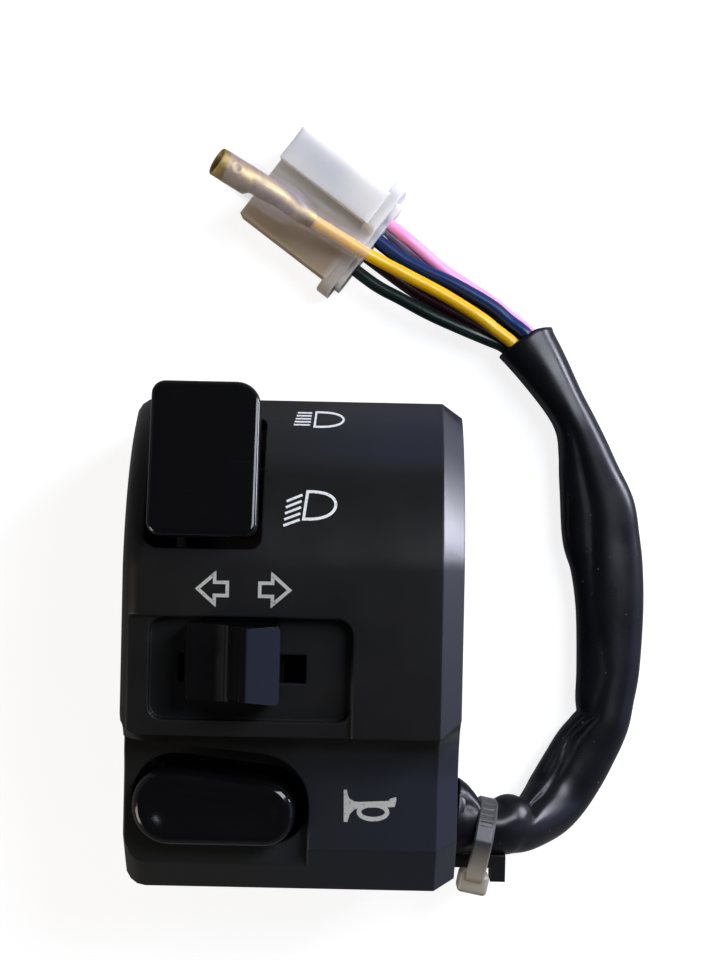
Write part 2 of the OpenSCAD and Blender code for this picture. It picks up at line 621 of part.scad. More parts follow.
module horn_button() color(gloss) difference() {
    union() {
        translate([0, 0, horn_low]) linear_extrude(horn_top - horn_low) polygon(horn_outline(0));
        rod([horn_cx, horn_cy], horn_stem_r, horn_board_z - 2, horn_low + 0.5);
    }
    rod_x(horn_cy + 0.4, horn_top - horn_dish + horn_dish_r, horn_dish_r, horn_x0 + 2, horn_x1 - 2);
    difference() {
        rod([horn_cx, horn_cy], horn_stem_r + 1, horn_board_z - 0.9, horn_board_z - 0.1);
        rod([horn_cx, horn_cy], horn_stem_r - 0.5, horn_board_z - 2, horn_board_z + 1);
    }
}

module horn_contact() color(brass) difference() {
    box([horn_cx - rivet_dx - 1.6, horn_cx + rivet_dx + 1.6], [horn_cy - 2.6, horn_cy + 2.6],
        [horn_bar_z, horn_bar_z + contact_t]);
    rod([horn_cx, horn_cy], horn_stem_r + seat_gap, 0, horn_top);
}

module horn_spring() color(steel) translate([horn_cx, horn_cy, horn_board_top])
    coil(spring_r, spring_wire, horn_bar_z - horn_board_top, 3);

module horn_clip() color(steel) difference() {
    rod([horn_cx, horn_cy], horn_stem_r + 1.6, horn_board_z - 0.85, horn_board_z - 0.15);
    rod([horn_cx, horn_cy], horn_stem_r - 0.5 + pin_gap, 0, horn_board_z);
    box([horn_cx, horn_cx + 5], [horn_cy - 1.2, horn_cy + 1.2], [0, horn_board_z]);
}

module horn_board() color(phenolic) difference() {
    box([horn_post[0][0] - 2.4, screw_x - post_r - 0.5], [-low_y + wall + 0.6, horn_post[0][1] + 2.4],
        [horn_board_z, horn_board_top - 0.02]);
    rod([horn_cx, horn_cy], horn_stem_r + pin_gap, 0, 20);
    for (p = horn_post) rod(p, small_r + 0.2, 0, 20);
    for (s = [-1, 1]) rod([horn_cx + s * rivet_dx, horn_cy], 0.8, 0, 20);
}

module horn_terminals() color(brass) for (s = [-1, 1]) {
    rod([horn_cx + s * rivet_dx, horn_cy], 0.75, horn_board_z - 2, horn_board_top);
    rod([horn_cx + s * rivet_dx, horn_cy], 1.3, horn_board_top, horn_bar_z - horn_travel - 0.12);
}

module small_screw(p, z) {
    rod(p, small_r - 0.03, z - 0.5, z + small_len);
    rod(p, small_head_r, z - small_head_h, z - 0.02);
}
module board_screws() color(steel) {
    for (s = [-1, 1]) small_screw([rocker_x + s * beam_screw_dx, beam_screw_y], beam_board_z);
    for (x = turn_post_x) small_screw([x, slide_y], turn_board_z);
    for (p = horn_post) small_screw(p, horn_board_z);
}

module inner_loom() color([0.1, 0.1, 0.1]) tube(loom_route, 2.9, 10, [1, 0.2, 0.3]);

module sleeve() color([0.08, 0.08, 0.09]) {
    pts = [for (q = sleeve_route) [q[0], q[1], q[2]]];
    loft([for (i = [0:len(pts) - 1])
        tube_ring(pts[i], along(pts, i), [0, 0, 1],
            sleeve_route[i][3] * sleeve_d / 2, sleeve_route[i][4] * sleeve_d / 2, 12)]);
}

module cable_tie() color(nylon) translate([tie_x, -38.3, 0]) rotate([0, 0, -8]) difference() {
    union() {
        along_x(-tie_w / 2, tie_w / 2)
            polygon(rounded([[-7.7, -6.7], [7.4, -6.7], [7.4, 5.9], [-7.7, 5.9]], [3.2, 4.6, 4.6, 3.2]));
        box([-tie_w / 2 - 0.9, tie_w / 2 + 0.9], [-9.6, -6.2], [-1.6, 3.4]);
    }
    along_x(-tie_w, tie_w) polygon(rounded([[7.4 - tie_t, -6.7 + tie_t], [7.4 - tie_t, 5.9 - tie_t],
        [-7.7 + tie_t, 5.9 - tie_t], [-7.7 + tie_t, -6.7 + tie_t]], [3.5, 3.5, 2.1, 2.1]));
}

module wire_yellow() color([0.9, 0.7, 0.1]) tube(yellow_route, wire_d / 2, 8);
module wire_blue() color([0.08, 0.14, 0.5]) tube(blue_route, wire_d / 2, 8);
module wire_pink() color([0.9, 0.5, 0.6]) tube(pink_route, wire_d / 2, 8);
module wire_grey() color([0.7, 0.7, 0.75]) tube(grey_route, wire_d / 2, 8);
module wire_black() color([0.05, 0.05, 0.05]) tube(black_route, wire_d / 2, 8);
module wire_brown() color([0.28, 0.12, 0.08]) tube(brown_route, wire_d / 2, 8);
module wire_green() color([0.05, 0.25, 0.14]) tube(green_route, wire_d / 2, 8);

module connector_housing() color(nylon) translate(plug_at) rotate([0, 0, plug_turn]) difference() {
    union() {
        box([plug_flange_t - 0.5, plug_len], [-plug_w / 2, plug_w / 2], [0, plug_low]);
        box([plug_flange_t - 0.5, plug_len], [-plug_w / 2, 6.2 - plug_w / 2], [plug_low - 1, plug_high]);
        along_x(0, plug_flange_t) polygon(rounded([[-plug_w / 2 - 2.4, 0], [plug_w / 2 + 2, 0],
            [plug_w / 2 + 2, plug_low - 0.6],
            [6.8 - plug_w / 2, plug_low + 0.4], [6.8 - plug_w / 2, plug_high - 0.8],
                [-plug_w / 2 - 2.4, plug_high - 0.8]],
            [1, 1.4, 2.4, 0.8, 1, 2.4]));
        along_x(-1, 0.5) polygon(rounded([[-plug_w / 2, 0.6], [plug_w / 2 + 0.2, 0.6],
            [plug_w / 2 + 0.2, plug_low - 0.4],
            [-plug_w / 2, plug_low - 0.4]], [1, 1, 1.6, 1]));
    }
    box([plug_len - mouth_depth, plug_len + 1], [plug_skin - plug_w / 2, plug_w / 2 - plug_skin],
        [plug_skin, plug_low - plug_skin]);
    box([plug_len - mouth_depth, plug_len + 1], [plug_skin - plug_w / 2, 6.2 - plug_skin - plug_w / 2],
        [plug_low - 2, plug_high - plug_skin]);
    for (w = plug_ways) translate([-2, w[0], w[1]]) rotate([0, 90, 0])
        cylinder(r = 1.15, h = plug_len - mouth_depth + 3);
}

module connector_terminals() color(brass) translate(plug_at) rotate([0, 0, plug_turn])
    for (w = plug_ways) translate([0, w[0], w[1]]) {
        translate([wire_in + 0.05, 0, 0]) rotate([0, 90, 0])
            cylinder(r = 1, h = plug_len - mouth_depth - wire_in);
        box([plug_len - mouth_depth - 0.5, plug_len - 2.5], [-0.95, 0.95], [-0.4, 0.4]);
    }

module bullet_terminal() color(brass) translate(bullet_at) rotate([0, 0, bullet_turn])
    rotate([0, 90 + bullet_rise, 0]) difference() {
    union() {
        cylinder(r = bullet_d / 2, h = 11.5);
        translate([0, 0, 11.5]) cylinder(r1 = bullet_d / 2, r2 = 1.5, h = 1.8);
        cylinder(r = 1.5, h = bullet_len);
    }
    translate([0, 0, -1]) cylinder(r = bullet_bore_r, h = 11);
    translate([-3, 0, 3.4]) rotate([0, 90, 0]) cylinder(r = 0.6, h = 3);
}

module bullet_insulator() color([0.85, 0.88, 0.9]) translate(bullet_at)
    rotate([0, 0, bullet_turn]) rotate([0, 90 + bullet_rise, 0]) difference() {
    union() {
        translate([0, 0, 2]) cylinder(r = 3.05, h = 12.5);
        translate([0, 0, 14.5]) cylinder(r1 = 3.05, r2 = 1.9, h = 3);
        translate([0, 0, 17.5]) cylinder(r = 1.9, h = 11.5);
    }
    translate([0, 0, 1]) cylinder(r = bullet_d / 2 + bullet_wall_gap, h = 13.2);
    translate([0, 0, 10]) cylinder(r = 1.6, h = 20);
}

front_case();
rear_case();
case_screws();
screw_inserts();
beam_rocker();
beam_pivot_pin();
beam_plunger();
beam_plunger_spring();
beam_contact();
beam_board();
beam_terminals();
turn_knob();
turn_carriage();
turn_carriage_screw();
turn_detent_ball();
turn_detent_spring();
turn_contact();
turn_board();
turn_terminals();
horn_button();
horn_contact();
horn_spring();
horn_clip();
horn_board();
horn_terminals();
board_screws();
inner_loom();
sleeve();
cable_tie();
wire_yellow();
wire_blue();
wire_pink();
wire_grey();
wire_black();
wire_brown();
wire_green();
connector_housing();
connector_terminals();
bullet_terminal();
bullet_insulator();
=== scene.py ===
# Left-hand handlebar switch cluster of a motorbike, lying on its back with its loom beside it.
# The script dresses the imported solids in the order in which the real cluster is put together.
import math
import bmesh
import bpy
from mathutils import Matrix, Vector


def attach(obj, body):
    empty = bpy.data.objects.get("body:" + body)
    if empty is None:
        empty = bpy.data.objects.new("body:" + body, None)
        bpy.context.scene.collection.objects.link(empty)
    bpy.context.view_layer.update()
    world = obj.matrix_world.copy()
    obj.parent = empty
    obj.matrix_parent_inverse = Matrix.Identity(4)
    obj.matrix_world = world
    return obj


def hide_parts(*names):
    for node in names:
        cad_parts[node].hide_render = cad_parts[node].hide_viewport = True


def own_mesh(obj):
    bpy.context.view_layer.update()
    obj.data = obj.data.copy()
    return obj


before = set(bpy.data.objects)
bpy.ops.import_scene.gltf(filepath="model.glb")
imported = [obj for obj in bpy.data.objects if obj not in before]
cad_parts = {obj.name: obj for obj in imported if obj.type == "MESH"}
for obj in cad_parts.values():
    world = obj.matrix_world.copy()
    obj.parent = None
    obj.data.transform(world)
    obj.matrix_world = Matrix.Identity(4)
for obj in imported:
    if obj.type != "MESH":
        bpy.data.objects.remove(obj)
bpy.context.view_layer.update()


# Front half of the case
# The half that faces the rider: one injection moulding in black ABS, 50 mm wide, crowned over the
# handlebar, with a sunk panel for each switch. Two screws from behind pull it onto the bar.
MM = 0.001


def linear(code):
    """sRGB hex to the linear colour that a shader socket takes."""
    parts = [int(code[i:i + 2], 16) / 255 for i in (1, 3, 5)]
    return [c / 12.92 if c <= 0.04045 else ((c + 0.055) / 1.055) ** 2.4 for c in parts] + [1.0]


def fill(node, sockets):
    """Sets sockets of a shader node. A node given as the value is linked by its first output."""
    for name, value in sockets.items():
        if isinstance(value, bpy.types.Node):
            value = next(out for out in value.outputs if out.enabled)
        if isinstance(value, bpy.types.NodeSocket):
            node.id_data.links.new(value, node.inputs[name])
        else:
            node.inputs[name].default_value = value


def put(tree, kind, sockets=(), **settings):
    """Adds a shader node with its settings, and sets or links its sockets."""
    made = tree.nodes.new("ShaderNode" + kind)
    for name, value in settings.items():
        setattr(made, name, value)
    fill(made, dict(sockets))
    return made


def new_finish(name):
    """An empty finish: the material, its tree and its surface shader."""
    finish = bpy.data.materials.new(name)
    finish.use_nodes = True
    return finish, finish.node_tree, finish.node_tree.nodes["Principled BSDF"]


# Black ABS from a spark-eroded mould: a fine even grain that breaks the shine into a dim sheen. Over the
# sunk
# foot, light is painted into the colour: paler there, and bluer towards the right, where the window light
# falls.
# It is shinier on the broad bevel to the right, where the mould was dressed by hand, and paler along rubbed
# edges. The real grain, about 0.1 mm, is too fine to show, so it is drawn at 0.3 mm.
grained_abs, tree, skin = new_finish("grained_black_abs")
where = put(tree, "TexCoord").outputs["Object"]
spot = put(tree, "SeparateXYZ", {"Vector": where}).outputs
facing = put(tree, "NewGeometry").outputs["Normal"]
outward = put(tree, "SeparateXYZ", {"Vector": facing}).outputs
grain = put(tree, "TexNoise", {"Vector": where, "Scale": 1 / (0.3 * MM), "Detail": 3.0, "Roughness": 0.6})
cloud = put(tree, "TexNoise", {"Vector": where, "Scale": 1 / (9 * MM), "Detail": 4.0})
round_off = put(tree, "Bevel", {"Radius": 0.45 * MM}, samples=6)
turned = put(tree, "VectorMath", {0: round_off, 1: facing}, operation="DOT_PRODUCT")
edge = put(tree, "MapRange", {"Value": turned, "From Min": 0.99, "From Max": 0.80})
rubbed = put(tree, "Math", {0: edge, 1: cloud}, operation="MULTIPLY")
rubbed_top = put(tree, "Mix", {"Factor": cloud, "A": linear("#131313"), "B": linear("#181817")},
                 data_type="RGBA")
# Painted light: the sunk foot and the ramp below it are drawn paler than the top, and bluer towards the
# right
rightwards = put(tree, "MapRange", {"Value": spot["X"], "From Min": -10 * MM, "From Max": 16 * MM})
painted_light_foot = put(tree, "Mix", {"Factor": rightwards, "A": linear("#1e1f1d"), "B": linear("#20232b")},
                   data_type="RGBA")
raised = put(tree, "MapRange", {"Value": spot["Z"], "From Min": 27.5 * MM, "From Max": 25.2 * MM})
sunk = put(tree, "MapRange", {"Value": spot["Z"], "From Min": 8 * MM, "From Max": 18 * MM})
lighter_where = put(tree, "Math", {0: raised, 1: sunk}, operation="MULTIPLY")
tone = put(tree, "Mix", {"Factor": lighter_where, "A": rubbed_top, "B": painted_light_foot}, data_type="RGBA")
tone_worn = put(tree, "Mix", {"Factor": rubbed, "A": tone, "B": linear("#242528")}, data_type="RGBA")
sideways = put(tree, "MapRange", {"Value": outward["X"], "From Min": 0.45, "From Max": 0.65})
above_foot = put(tree, "MapRange", {"Value": spot["Y"], "From Min": -21 * MM, "From Max": -19 * MM})
dressed = put(tree, "Math", {0: sideways, 1: above_foot}, operation="MULTIPLY")
sheen = put(tree, "MapRange", {"Value": cloud, "From Min": 0.3, "From Max": 0.7,
                               "To Min": 0.34, "To Max": 0.42})
sheen_worn = put(tree, "Mix", {"Factor": rubbed, "A": sheen, "B": 0.3})
sheen_dressed = put(tree, "Mix", {"Factor": dressed, "A": sheen_worn, "B": 0.31})
reflecting = put(tree, "MapRange", {"Value": dressed, "To Min": 0.25, "To Max": 0.85})
pitted = put(tree, "Bump", {"Strength": 0.3, "Distance": 0.03 * MM, "Height": grain, "Normal": round_off})
fill(skin, {"Base Color": tone_worn, "Roughness": sheen_dressed, "Specular IOR Level": reflecting,
            "Normal": pitted})


def as_mesh(name, bm):
    """The mesh that was worked on, which is then put away."""
    mesh = bpy.data.meshes.new(name)
    bm.to_mesh(mesh)
    bm.free()
    return mesh


def fitted(name, mesh, finish, body):
    """A piece of the cluster: a mesh with its finish, riding on a body."""
    mesh.materials.append(finish)
    piece = bpy.data.objects.new(name, mesh)
    bpy.context.collection.objects.link(piece)
    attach(piece, body)
    return piece


def moulded(node, radius, finish, body, steps=3, from_angle=28):
    """The solid of a node as a moulding: flat facets merged, edges sharper than from_angle rounded."""
    same_point = 1e-6
    same_plane = math.radians(0.6)
    sharp_angle = math.radians(32)
    bm = bmesh.new()
    bm.from_mesh(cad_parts[node].data)
    bmesh.ops.remove_doubles(bm, verts=bm.verts, dist=same_point)
    bmesh.ops.dissolve_limit(bm, angle_limit=same_plane, verts=bm.verts, edges=bm.edges)
    corners = [e for e in bm.edges
               if len(e.link_faces) == 2 and e.calc_face_angle(0) > math.radians(from_angle)]
    bmesh.ops.bevel(bm, geom=corners, offset=radius * MM, offset_type="OFFSET", segments=steps, profile=0.5,
                    affect="EDGES", clamp_overlap=True, miter_outer="ARC")
    mesh = as_mesh(node + "_moulding", bm)
    mesh.shade_smooth()
    mesh.set_sharp_from_angle(angle=sharp_angle)
    piece = fitted(node + "_moulding", mesh, finish, body)
    piece.modifiers.new("flat_faces_stay_flat", "WEIGHTED_NORMAL").keep_sharp = True
    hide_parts(node)
    return piece


front = moulded("front_case", 0.3, grained_abs, "case")


# Rear half of the case
# The half behind the bar: the same ABS moulding, flat-backed, with the outlet for the loom and a
# small T-shaped tab beside it that the cable tie pulls the loom against.
rear = moulded("rear_case", 0.3, grained_abs, "case")


# Case screws and board screws
# Zinc-plated pan-head screws: two long ones from behind into brass inserts, and six small ones
# that hold the three contact boards up against their posts.

# Zinc-plated steel: a cool grey metal with a faint mottled haze and fine turning marks.
zinc_steel, tree, skin = new_finish("zinc_plated_steel")
where = put(tree, "TexCoord").outputs["Object"]
mottle = put(tree, "TexNoise", {"Vector": where, "Scale": 1 / (1.5 * MM), "Detail": 5.0})
tone = put(tree, "Mix", {"Factor": mottle, "A": linear("#a9abad"), "B": linear("#c9cacb")}, data_type="RGBA")
haze = put(tree, "MapRange", {"Value": mottle, "To Min": 0.22, "To Max": 0.42})
marks = put(tree, "TexNoise", {"Vector": where, "Scale": 1 / (0.2 * MM), "Detail": 2.0})
cut = put(tree, "Bump", {"Strength": 0.2, "Distance": 0.01 * MM, "Height": marks})
fill(skin, {"Base Color": tone, "Roughness": haze, "Normal": cut, "Metallic": 1.0})


def dress(finish, *nodes):
    """Gives solids that keep their own shape their finish."""
    for name in nodes:
        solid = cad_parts[name]
        solid.data.materials.clear()
        solid.data.materials.append(finish)


dress(zinc_steel, "case_screws", "board_screws", "turn_carriage_screw", "turn_detent_ball", "horn_clip")


# Contacts, terminals and inserts
# Stamped and turned brass: the screw inserts in the front half, the bridging contacts on the moving
# pieces, the riveted terminals on the boards and the blades in the plug.

# Brass as stamped: warm yellow metal, brighter where it is rubbed and browned in patches by handling.
brass, tree, skin = new_finish("stamped_brass")
where = put(tree, "TexCoord").outputs["Object"]
tarnish = put(tree, "TexNoise", {"Vector": where, "Scale": 1 / (2.5 * MM), "Detail": 5.0, "Roughness": 0.6})
tarnished = put(tree, "MapRange", {"Value": tarnish, "From Min": 0.45, "From Max": 0.75})
tone = put(tree, "Mix", {"Factor": tarnished, "A": linear("#b8a26a"), "B": linear("#84734d")},
           data_type="RGBA")
haze = put(tree, "MapRange", {"Value": tarnished, "To Min": 0.55, "To Max": 0.70})
drawn = put(tree, "TexNoise", {"Vector": where, "Scale": 1 / (0.25 * MM), "Detail": 2.0})
scored = put(tree, "Bump", {"Strength": 0.15, "Distance": 0.01 * MM, "Height": drawn})
fill(skin, {"Base Color": tone, "Roughness": haze, "Normal": scored, "Metallic": 1.0})
dress(brass, "screw_inserts", "beam_contact", "beam_terminals", "turn_contact", "turn_terminals",
      "horn_contact", "horn_terminals", "connector_terminals")


# Contact boards
# Three flat boards of paper laminate, punched for the rivets and screws, one under each switch. Two small
# screws hold each of them.

# Black phenolic paper board: brown-black, faintly fibrous, with a resin gloss that is dulled in patches.
phenolic, tree, skin = new_finish("phenolic_paper_board")
where = put(tree, "TexCoord").outputs["Object"]
fibre_way = put(tree, "Mapping", {"Vector": where, "Scale": (1 / (3 * MM), 1 / (0.4 * MM), 1 / (0.4 * MM))})
fibre = put(tree, "TexNoise", {"Vector": fibre_way, "Scale": 1.0, "Detail": 4.0})
tone = put(tree, "Mix", {"Factor": fibre, "A": linear("#1c1512"), "B": linear("#2a201b")}, data_type="RGBA")
gloss = put(tree, "MapRange", {"Value": fibre, "To Min": 0.3, "To Max": 0.55})
fibrous = put(tree, "Bump", {"Strength": 0.2, "Distance": 0.02 * MM, "Height": fibre})
fill(skin, {"Base Color": tone, "Roughness": gloss, "Normal": fibrous})
dress(phenolic, "beam_board", "turn_board", "horn_board")


# Plunger
# A small unseen moulding in natural nylon, chosen because it slides dry: the sprung finger under the
# rocker that tips the see-saw contact.

# Natural nylon: milky and a little translucent, warmer where it is thick, with a soft satin skin.
white_nylon, tree, skin = new_finish("natural_nylon")
where = put(tree, "TexCoord").outputs["Object"]
flow = put(tree, "TexNoise", {"Vector": where, "Scale": 1 / (6 * MM), "Detail": 3.0})
tone = put(tree, "Mix", {"Factor": flow, "A": linear("#f1efea"), "B": linear("#e2ddd0")}, data_type="RGBA")
satin = put(tree, "MapRange", {"Value": flow, "To Min": 0.28, "To Max": 0.46})
ripple = put(tree, "TexNoise", {"Vector": where, "Scale": 1 / (1.2 * MM), "Detail": 3.0})
waved = put(tree, "Bump", {"Strength": 0.25, "Distance": 0.04 * MM, "Height": ripple})
fill(skin, {"Base Color": tone, "Roughness": satin, "Normal": waved, "IOR": 1.53, "Subsurface Weight": 0.45,
            "Subsurface Radius": (1.0, 0.9, 0.75), "Subsurface Scale": 1.6 * MM})
dress(white_nylon, "beam_plunger")


# Springs
# Coils of bright spring wire with closed ends: one behind the plunger, one behind the detent ball, and
# the wider one under the horn button, drawn at one length, though the real one shortens when pressed.


def skinned(name, rings, finish, body, capped=True, sharp=40):
    """A mesh over closed rings of points, in millimetres, with its finish, riding on a body."""
    count = len(rings[0])
    points = [Vector(p) * MM for ring in rings for p in ring]
    faces = []
    for k in range(len(rings) - 1):
        for i in range(count):
            j = (i + 1) % count
            faces.append((k * count + i, k * count + j, (k + 1) * count + j, (k + 1) * count + i))
    if capped:
        faces.append(tuple(range(count))[::-1])
        faces.append(tuple(range((len(rings) - 1) * count, len(rings) * count)))
    mesh = bpy.data.meshes.new(name)
    mesh.from_pydata(points, [], faces)
    bm = bmesh.new()
    bm.from_mesh(mesh)
    bmesh.ops.recalc_face_normals(bm, faces=bm.faces)
    bm.to_mesh(mesh)
    bm.free()
    mesh.shade_smooth()
    mesh.set_sharp_from_angle(angle=math.radians(sharp))
    return fitted(name, mesh, finish, body)


def across(path, i, up, reach=1):
    """The two directions square to a path at one of its points."""
    along = (path[min(i + reach, len(path) - 1)] - path[max(i - reach, 0)]).normalized()
    side = up.cross(along).normalized()
    return side, along.cross(side)


UP = Vector((0, 0, 1))


def round_rings(path, radius, count, up=UP):
    """Round sections square to a path."""
    angles = [2 * math.pi * j / count for j in range(count)]
    rings = []
    for i, p in enumerate(path):
        side, over = across(path, i, up)
        rings.append([p + side * (radius * math.cos(a)) + over * (radius * math.sin(a)) for a in angles])
    return rings


def wound(name, place, coil_r, wire, height, turns, body):
    """A coil spring standing on the XY plane of a place, with a closed end each way."""
    parts = turns * 28
    closed_end = 0.6
    path = []
    for i in range(parts + 1):
        t = i / parts
        rise = min(max((t * turns - closed_end) / (turns - 2 * closed_end), 0), 1)
        angle = 2 * math.pi * turns * t
        path.append(place @ Vector((coil_r * math.cos(angle), coil_r * math.sin(angle),
                                    wire + (height - 2 * wire) * rise)))
    return skinned(name, round_rings(path, wire / 2, 10, place.to_3x3() @ UP), zinc_steel, body)


# Each spring is given by where it stands, its coil's radius, its wire, its height and its turns
pivot = Vector((-13.2, 18, 25))
under_rocker = (Matrix.Translation(pivot) @ Matrix.Rotation(math.radians(-5), 4, "X")
                @ Matrix.Translation((0, 0, -5)))
plunger_spring = wound("plunger_spring", under_rocker, 1.2, 0.5, 3, 4, "rocker")
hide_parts("beam_plunger_spring")
behind_ball = Matrix.Translation((-11.3, -11.3, 22.2)) @ Matrix.Rotation(math.radians(-90), 4, "X")
detent_spring = wound("detent_spring", behind_ball, 0.95, 0.4, 2.6, 4, "slider")
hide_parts("turn_detent_spring")
under_horn = Matrix.Translation((-11.2, -31.2, 13))
horn_spring = wound("horn_return_spring", under_horn, 3.2, 0.7, 5.15, 4, "case")
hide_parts("horn_spring")
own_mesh(horn_spring)


# Beam rocker
# The dip switch: a hollow gloss ABS cap, 16 by 23 mm, that rocks on a steel pin across the case.
# It stands tilted towards the rider with the high beam on, and its edges are turned over softly.

# Polished ABS: near-black and mirror-smooth out of the mould, with finger haze and hair-fine scratches,
# which are drawn about 12 mm long and 0.4 mm apart.
gloss_abs, tree, skin = new_finish("polished_black_abs")
where = put(tree, "TexCoord").outputs["Object"]
handled = put(tree, "TexNoise", {"Vector": where, "Scale": 1 / (5 * MM), "Detail": 5.0, "Roughness": 0.6})
hair_way = put(tree, "Mapping", {"Vector": where, "Rotation": (0.0, 0.0, 0.9),
                                 "Scale": (0.08 / MM, 2.6 / MM, 0.4 / MM)})
hair = put(tree, "TexNoise", {"Vector": hair_way, "Scale": 1.0, "Detail": 2.0})
hairline = put(tree, "MapRange", {"Value": hair, "From Min": 0.70, "From Max": 0.78})
tone = put(tree, "Mix", {"Factor": hairline, "A": linear("#0a0a0b"), "B": linear("#101112")},
           data_type="RGBA")
haze = put(tree, "MapRange", {"Value": handled, "From Min": 0.3, "From Max": 0.75,
                              "To Min": 0.07, "To Max": 0.20})
swell = put(tree, "TexNoise", {"Vector": where, "Scale": 1 / (4 * MM), "Detail": 1.0})
sink = put(tree, "Bump", {"Strength": 0.15, "Distance": 0.05 * MM, "Height": swell})
fill(skin, {"Base Color": tone, "Roughness": haze, "Normal": sink, "Specular IOR Level": 0.35})


def corner_arcs(corners, radii, inset=0.0, steps=10):
    """A convex outline, counter-clockwise, moved inwards and with each corner rounded."""
    least_radius = 0.25
    count = len(corners)
    lines = []
    for i in range(count):
        p, q = Vector(corners[i]), Vector(corners[(i + 1) % count])
        way = (q - p).normalized()
        lines.append((p + Vector((-way.y, way.x)) * inset, way))
    moved = []
    for i in range(count):
        (p, u), (q, v) = lines[i - 1], lines[i]
        cross = u.x * v.y - u.y * v.x
        t = ((q.x - p.x) * v.y - (q.y - p.y) * v.x) / cross
        moved.append(p + u * t)
    outline = []
    for i in range(count):
        r = max(radii[i] - inset, least_radius)
        u = (moved[i - 1] - moved[i]).normalized()
        v = (moved[(i + 1) % count] - moved[i]).normalized()
        half = math.acos(max(-1, min(1, u.dot(v)))) / 2
        centre = moved[i] + (u + v).normalized() * (r / math.sin(half))
        first = moved[i] + u * (r / math.tan(half)) - centre
        a0 = math.atan2(first.y, first.x)
        sweep = math.pi - 2 * half
        for s in range(steps + 1):
            a = a0 + sweep * s / steps
            outline.append(centre + Vector((math.cos(a), math.sin(a))) * r)
    return outline


# Levels of the cap from its keel up to its shoulder: height over the pivot, then lower and upper end
rocker_levels = [(-5.4, -3.0, 3.0), (-3.5, -7.5, 7.2), (1.5, -9.8, 8.1), (2.9, -10.15, 8.3),
                 (3.6, -10.3, 10.2), (4.5, -10.55, 11.5), (5.5, -10.8, 11.65), (8.1, -11.2, 12.0)]
rocker_half_width = 8
rocker_radii = (2.2, 1.8, 3.6, 2.0)
rocker_edge_in, rocker_edge_up = 0.95, 0.85
rocker_hollow = 0.1
rocker_middle, rocker_half_length = 0.4, 11.6
rocker_tilt = math.radians(-13.4)
inside_solid = 0.02
stand = Matrix.Translation(pivot) @ Matrix.Rotation(rocker_tilt, 4, "X")


def rocker_ring(height, low, high, inset, hollow=0.0):
    """A section of the cap, with its top slightly hollow from end to end."""
    w = rocker_half_width
    ring = []
    for p in corner_arcs([(-w, low), (w, low), (w, high), (-w, high)], rocker_radii, inset):
        sag = hollow * (1 - ((p.y - rocker_middle) / rocker_half_length) ** 2)
        ring.append(stand @ Vector((p.x, p.y, height - sag)))
    return ring


rings = [rocker_ring(*level, inside_solid) for level in rocker_levels]
shoulder, *ends = rocker_levels[-1]
for step in range(1, 8):
    turn = math.pi / 2 * step / 7
    rings.append(rocker_ring(shoulder + rocker_edge_up * math.sin(turn), *ends,
                             inside_solid + rocker_edge_in * (1 - math.cos(turn)), rocker_hollow * step / 7))
for inset in (1.6, 2.6, 3.8, 5.2, 6.6, 7.6):
    rings.append(rocker_ring(shoulder + rocker_edge_up, *ends, inset, rocker_hollow))
rocker = skinned("rocker_cap", rings, gloss_abs, "rocker", sharp=35)
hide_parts("beam_rocker")

# Blackened steel of the pivot pin: almost black, with an oily satin shine and worn grey specks.
black_steel, tree, skin = new_finish("blackened_steel")
where = put(tree, "TexCoord").outputs["Object"]
wear = put(tree, "TexNoise", {"Vector": where, "Scale": 1 / (0.8 * MM), "Detail": 4.0})
worn = put(tree, "MapRange", {"Value": wear, "From Min": 0.60, "From Max": 0.75})
tone = put(tree, "Mix", {"Factor": worn, "A": linear("#26262a"), "B": linear("#55565a")}, data_type="RGBA")
oily = put(tree, "MapRange", {"Value": wear, "To Min": 0.3, "To Max": 0.5})
ground = put(tree, "Bump", {"Strength": 0.15, "Distance": 0.01 * MM, "Height": wear})
fill(skin, {"Base Color": tone, "Roughness": oily, "Normal": ground, "Metallic": 1.0})
dress(black_steel, "beam_pivot_pin")


# Turn knob and its carriage
# The slide for the turn lamps: a gloss ABS thumb piece with a low pad, a ridge across it and a flank that
# falls away to the right, screwed through the slot of its recess to a black carriage behind.
knob = moulded("turn_knob", 0.5, gloss_abs, "slider", steps=4, from_angle=20)
dress(gloss_abs, "turn_carriage")


# Horn button
# A long gloss ABS push-button with a dished top for the thumb, sunk in its own scoop at the foot of
# the case and held from behind by a spring clip.
horn_corners = [(-23.3, -36.8), (0.9, -36.8), (0.9, -27.5), (-23.3, -24.6)]
horn_radii = (5.6, 4.6, 4.6, 5.4)
horn_skirt, horn_waist, horn_shoulder = 19.05, 22.0, 26.0
horn_edge_in, horn_edge_up = 1.5, 1.7
horn_dish_in, horn_dish_deep = 3.1, 0.75


def horn_ring(height, inset):
    """A level section of the button."""
    return [(p.x, p.y, height) for p in corner_arcs(horn_corners, horn_radii, inset)]


rings = [horn_ring(height, inside_solid) for height in (horn_skirt, horn_waist, horn_shoulder)]
for step in range(1, 10):
    turn = math.pi / 2 * step / 9
    rings.append(horn_ring(horn_shoulder + horn_edge_up * math.sin(turn),
                           inside_solid + horn_edge_in * (1 - math.cos(turn))))
for step in range(1, 9):
    dip = step / 8
    rings.append(horn_ring(horn_shoulder + horn_edge_up - horn_dish_deep * dip * dip * (3 - 2 * dip),
                           inside_solid + horn_edge_in + horn_dish_in * dip))
horn = skinned("horn_push_button", rings, gloss_abs, "horn", sharp=35)
stem_radius = 1.98
stem_path = [Vector((-11.2, -31.2, z)) for z in (9.05, 10.0, 10.05, 10.95, 11.0, 19.4)]
stem = skinned("horn_stem", round_rings(stem_path, stem_radius, 32, Vector((1, 0, 0))), gloss_abs, "horn")
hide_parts("horn_button")


# Printed symbols
# White pad-printed signs of the usual kind beside each switch: high and low beam, the two turn
# arrows and a horn. The ink lies on the skin, a few hundredths of a millimetre thick.

